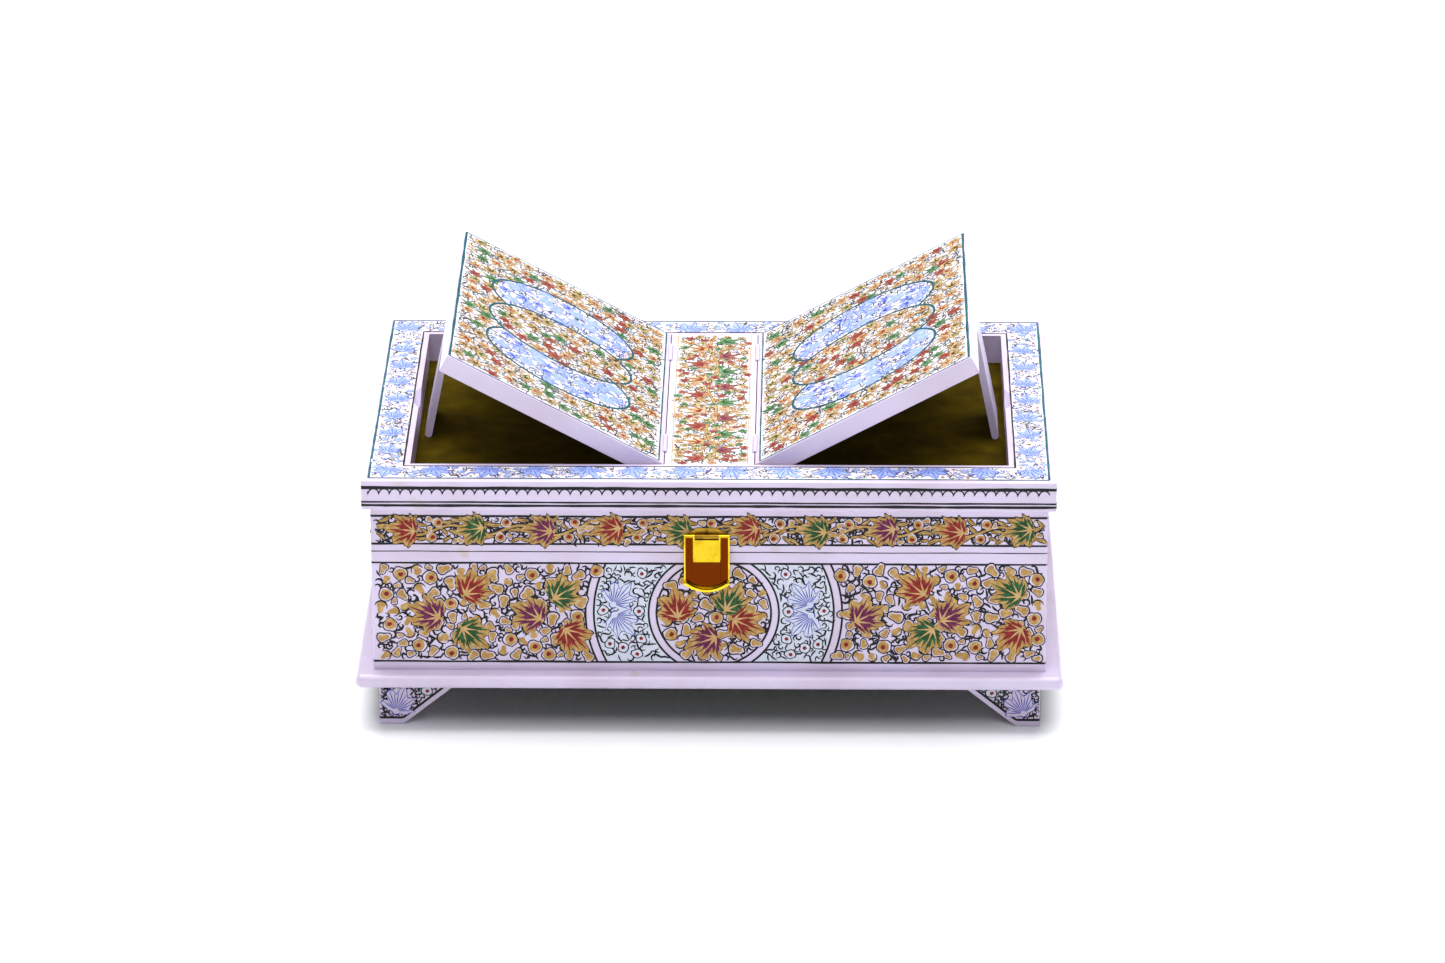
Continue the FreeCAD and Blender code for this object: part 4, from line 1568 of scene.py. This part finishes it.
@dataclass
class FootPainting:
    """A hatched leaf, a rosette and ink curls inside a black line on every bracket foot."""

    book: StampBook
    half_x: float
    half_y: float
    height: float
    toe: float = 12.0
    top: float = 41.0
    gap: float = 3.6

    def paint(self, paints: Paints) -> bpy.types.Object:
        """Paint all eight foot faces as one piece."""
        relief = Relief("foot_painting", "box", "painted_walls")
        slope = (self.top - self.toe) / self.height
        for side in Side:
            face = side.face(self.half_x, self.half_y)
            reach = side.half_length(self.half_x, self.half_y)
            for sign in (-1, 1):
                scatter = Scatter(19 + sign, 5.0)

                def at(out: float, up: float) -> tuple[float, float]:
                    """A place at a distance in from the corner and up from the floor."""
                    return (sign * (reach - out), up)

                toe_end = at(self.toe + slope * self.gap - self.gap * 1.3, self.gap)
                top_end = at(self.top - self.gap * 1.5, self.height - 0.4)
                for start, end in ((at(0.3, self.gap), toe_end), (toe_end, top_end)):
                    relief.draw(face.place(0, 0), lambda bm, s=start, e=end: add_stroke(
                        bm, straight(s, e), 1.2, 5, 0.11, Pigment.INK, even))
                leaf = self.book.hatched_leaf(14.5, Pigment.GROUND, Pigment.BLUE, 13)
                relief.press(leaf, face.place(*at(10.5, 13.5), 70 if sign < 0 else 110))
                scatter.claim(*at(10.5, 13.5), 6.0)
                relief.press(self.book.pale_rosette(1), face.place(*at(24, 18.0), 30))
                scatter.claim(*at(24, 18.0), 2.6)

                def inside(u: float, v: float) -> bool:
                    """Whether a place lies clear of the slanted line."""
                    return reach - abs(u) < self.toe + slope * v - self.gap * 1.6 - 1.0

                low, high = sorted((at(1.5, 0)[0], at(self.top, 0)[0]))
                area = (low, high, self.gap + 1.4, self.height - 1.2)
                curls = self.book.curls(1.0, Pigment.INK)
                scatter.fill(relief, face, area, curls, 0.8, 3500, inside, (0.6, 1.0))
        return relief.finish(paints)


# ---------------------------------------------------------------- velvet, fittings and timber


@dataclass
class VelvetLining:
    """Velvet sheets glued in the tray and in the compartment below it."""

    cell: float = 3.0
    thickness: float = 1.0
    swell: float = 0.22
    tray: tuple[str, ...] = ("tray_velvet_left", "tray_velvet_right")
    compartment: tuple[str, ...] = tuple(
        f"compartment_velvet_{n}" for n in ("floor", "front", "back", "left", "right")
    )

    def lay(self, node: str, body: str, under: str, velvet: bpy.types.Material) -> bpy.types.Object:
        """Lay one sheet where its plain CAD solid is.

        Args:
            node: the CAD solid that it replaces.
            body: the body that it rides on.
            under: the board that it is glued to.
            velvet: its material.

        Returns:
            The sheet.
        """
        low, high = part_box(node)
        size, centre = high - low, (high + low) / 2
        thin = min(range(3), key=lambda i: size[i])
        board_low, board_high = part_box(under)
        toward = -1.0 if (board_low[thin] + board_high[thin]) / 2 > centre[thin] else 1.0
        a, b = [i for i in range(3) if i != thin]
        bm = bmesh.new()
        bmesh.ops.create_grid(
            bm, x_segments=int(size[a] / MM / self.cell), y_segments=int(size[b] / MM / self.cell),
            size=0.5,
        )
        for vert in bm.verts:
            edge = min(0.5 - abs(vert.co.x), 0.5 - abs(vert.co.y))
            place = Vector((vert.co.x * size[a], vert.co.y * size[b], 0.0)) / MM
            rise = noise.noise(place / 14) * self.swell + noise.noise(place / 4) * self.swell * 0.4
            spot = [0.0, 0.0, 0.0]
            spot[a], spot[b] = centre[a] + vert.co.x * size[a], centre[b] + vert.co.y * size[b]
            swell = (rise if edge > 0.004 else -0.25) * MM
            spot[thin] = centre[thin] + toward * (size[thin] / 2 + swell - 0.2 * MM)
            vert.co = spot
        bm.normal_update()
        facing = [0.0, 0.0, 0.0]
        facing[thin] = toward
        if sum((f.normal.dot(Vector(facing)) for f in bm.faces)) < 0:
            bmesh.ops.reverse_faces(bm, faces=bm.faces)
        bmesh.ops.solidify(bm, geom=bm.faces[:], thickness=0.7 * size[thin])
        bmesh.ops.recalc_face_normals(bm, faces=bm.faces)
        sheet = make_piece(f"{node}_sheet", bm, [velvet])
        for polygon in sheet.data.polygons:
            polygon.use_smooth = True
        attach(sheet, body)
        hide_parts(node)
        LOG.info("%s laid on %s", sheet.name, under)
        return sheet

    def build(self, velvet: bpy.types.Material) -> None:
        """Lay every sheet."""
        for node in self.tray:
            self.lay(node, "lid", "tray_floor", velvet)
        for node in self.compartment:
            part = node.rsplit("_", 1)[1]
            self.lay(node, "box", "base_plate" if part == "floor" else f"box_{part}_wall", velvet)


class Fittings:
    """Boards, brass and steel that keep their CAD shape and take a finish."""

    def dress(self, words: Sequence[str], material: bpy.types.Material) -> None:
        """Give a finish to every CAD node whose name contains one of the words.

        Args:
            words: parts of node names.
            material: the finish.
        """
        done = 0
        for name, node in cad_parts.items():
            if any(word in name for word in words):
                node.data.materials.clear()
                node.data.materials.append(material)
                done += 1
        LOG.info("%s on %d nodes", material.name, done)


@dataclass
class Studio:
    """Camera, pale floor and soft lights."""

    aim: tuple[float, float, float] = (5.095, 0.0, 87.75)
    distance: float = 3494.8
    elevation: float = 22.301
    yaw: float = -0.879
    roll: float = -0.126
    lens_mm: float = 172.35

    def camera(self) -> None:
        """Set the camera."""
        e, y, r = math.radians(self.elevation), math.radians(self.yaw), math.radians(self.roll)
        ahead = Vector((math.sin(y) * math.cos(e), math.cos(y) * math.cos(e), -math.sin(e)))
        right = Vector((math.cos(y), -math.sin(y), 0.0))
        up = right.cross(ahead)
        right, up = right * math.cos(r) + up * math.sin(r), up * math.cos(r) - right * math.sin(r)
        data = bpy.data.cameras.new("studio_camera")
        data.lens, data.sensor_width, data.dof.use_dof = self.lens_mm, 36.0, False
        data.clip_start, data.clip_end = 0.1, 50.0
        camera = bpy.data.objects.new("studio_camera", data)
        spot = Vector(self.aim) * MM - ahead * self.distance * MM
        turn = Matrix((right, up, -ahead)).transposed().to_4x4()
        camera.matrix_world = Matrix.Translation(spot) @ turn
        bpy.context.scene.collection.objects.link(camera)
        bpy.context.scene.camera = camera

    def floor(self) -> None:
        """Lay the pale paper floor."""
        m, spot = blank_material("matt_background_paper")
        tone = add_ramp(m, add_noise(m, spot, 40.0), "F3F5F7", "F9FAFB")
        shader = add_node(m, "ShaderNodeBsdfPrincipled", {"Roughness": 0.9}, {"Base Color": tone})
        close_material(m, shader)
        bm = bmesh.new()
        bmesh.ops.create_circle(bm, cap_ends=True, segments=64, radius=14.0)
        make_piece("studio_floor", bm, [m])

    def light(
        self, name: str, spot: tuple[float, float, float], size: float, watts: float, tint: str
    ) -> None:
        """Hang one square soft light that looks at the object.

        Args:
            name: its name.
            spot: where it hangs, in metres.
            size: its side, in metres.
            watts: its power.
            tint: its colour as sRGB hex.
        """
        data = bpy.data.lights.new(name, "AREA")
        data.shape, data.size, data.energy, data.color = "SQUARE", size, watts, linear(tint)[:3]
        lamp = bpy.data.objects.new(name, data)
        lamp.location = spot
        lamp.rotation_euler = (Vector((0, 0, 0.1)) - Vector(spot)).to_track_quat("-Z", "Y").to_euler()
        bpy.context.scene.collection.objects.link(lamp)

    def build(self) -> None:
        """Set up the whole studio."""
        self.camera()
        self.floor()
        world = bpy.data.worlds.new("studio_world")
        world.use_nodes = True
        world.node_tree.nodes["Background"].inputs["Color"].default_value = (0.94, 0.97, 1.0, 1.0)
        world.node_tree.nodes["Background"].inputs["Strength"].default_value = 0.25
        bpy.context.scene.world = world
        self.light("overhead_softbox", (0.0, 0.7, 2.6), 3.0, 170.0, "FFFFFF")
        self.light("front_softbox", (-0.3, -1.7, 2.9), 1.6, 34.0, "FBF8FF")
        self.light("camera_side_card", (0.1, -3.7, 1.25), 1.3, 7.5, "FFFFFF")
        bpy.context.scene.view_settings.view_transform = "Standard"
        LOG.info("studio ready")


def corners(node: str) -> tuple[Vector, Vector]:
    """Lowest and highest corner of a CAD node, in millimetres."""
    low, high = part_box(node)
    return low / MM, high / MM


def main() -> None:
    """Build every class in order and report each piece."""
    logging.basicConfig(level=logging.INFO, format="%(name)s: %(message)s")
    Studio().build()
    lacquer = BrushedLacquer().make()
    paints = {p: VarnishedGouache(p.name.lower(), *p.value[1:]).make() for p in Pigment if p.number}
    paints[Pigment.GROUND] = lacquer
    fittings = Fittings()
    timber = ("foot", "base_plate", "wall", "band", "rail", "stile", "spine", "tray_floor", "board")
    fittings.dress(timber, lacquer)
    # The base plate's near-black underside is painted shade for the gap beneath the box.
    fittings.dress(("base_plate",), UndersidePaintedShade().make())
    brass = PolishedBrass("hinge_brass_rolled", "D9B45A", "A98438", rough=0.26).make()
    plates = (
        "hinge_plates", "hinge_plate", "hinge_leaf_plate", "hinge_lower_plates", "hinge_upper_plates"
    )
    fittings.dress(plates, brass)
    fittings.dress(("spine_hinge_plates", "leaf_hinge_plates"), lacquer)
    turned = PolishedBrass("brass_nails_turned", "E0BE60", "B48E3E", rough=0.22).make()
    fittings.dress(("nails", "screws"), turned)
    fittings.dress(("pins", "hinge_pin", "latch_pin"), DrawnSteel().make())
    pressed = PolishedBrass("latch_brass_pressed", "A5832C", "6A4C12", rough=0.3).make()
    fittings.dress(("latch_plate", "latch_catch"), pressed)
    # The flap's red-brown below its crease is a painted dark reflection.
    fittings.dress(("latch_flap",), PolishedBrass("latch_brass_polished", crease=91.8).make())
    VelvetLining().build(WovenVelvet().make())

    book = StampBook()
    half_x, half_y = -corners("box_left_wall")[0].x, -corners("box_front_wall")[0].y
    box_paint = BoxPainting(book, half_x, half_y)
    frieze = LidFrieze(book, half_x, half_y)
    for side in Side:
        box_paint.paint(side, paints)
        frieze.paint(side, paints)
    rail_low, rail_high = corners("top_front_rail")
    stile_low, stile_high = corners("top_left_stile")
    CorniceLines(book, -stile_low.x, -rail_low.y).paint(paints)
    TopBorder(book, -stile_low.x, -rail_low.y, -stile_high.x, -rail_high.y, rail_high.z).paint(paints)
    palette = FieldPalette(book)
    SpineVine(book, palette, *corners("centre_spine")[1]).paint(paints)
    rest = BookRest(book, palette, HINGE_X, rail_high.z, LEAF_LENGTH, corners("right_leaf_board")[1].y)
    for side in ("left", "right"):
        rest.paint(side, paints)
    foot = corners("front_left_foot_face")[0]
    FootPainting(book, -foot.x, -foot.y, corners("base_plate")[0].z).paint(paints)


if __name__ == "__main__":
    main()
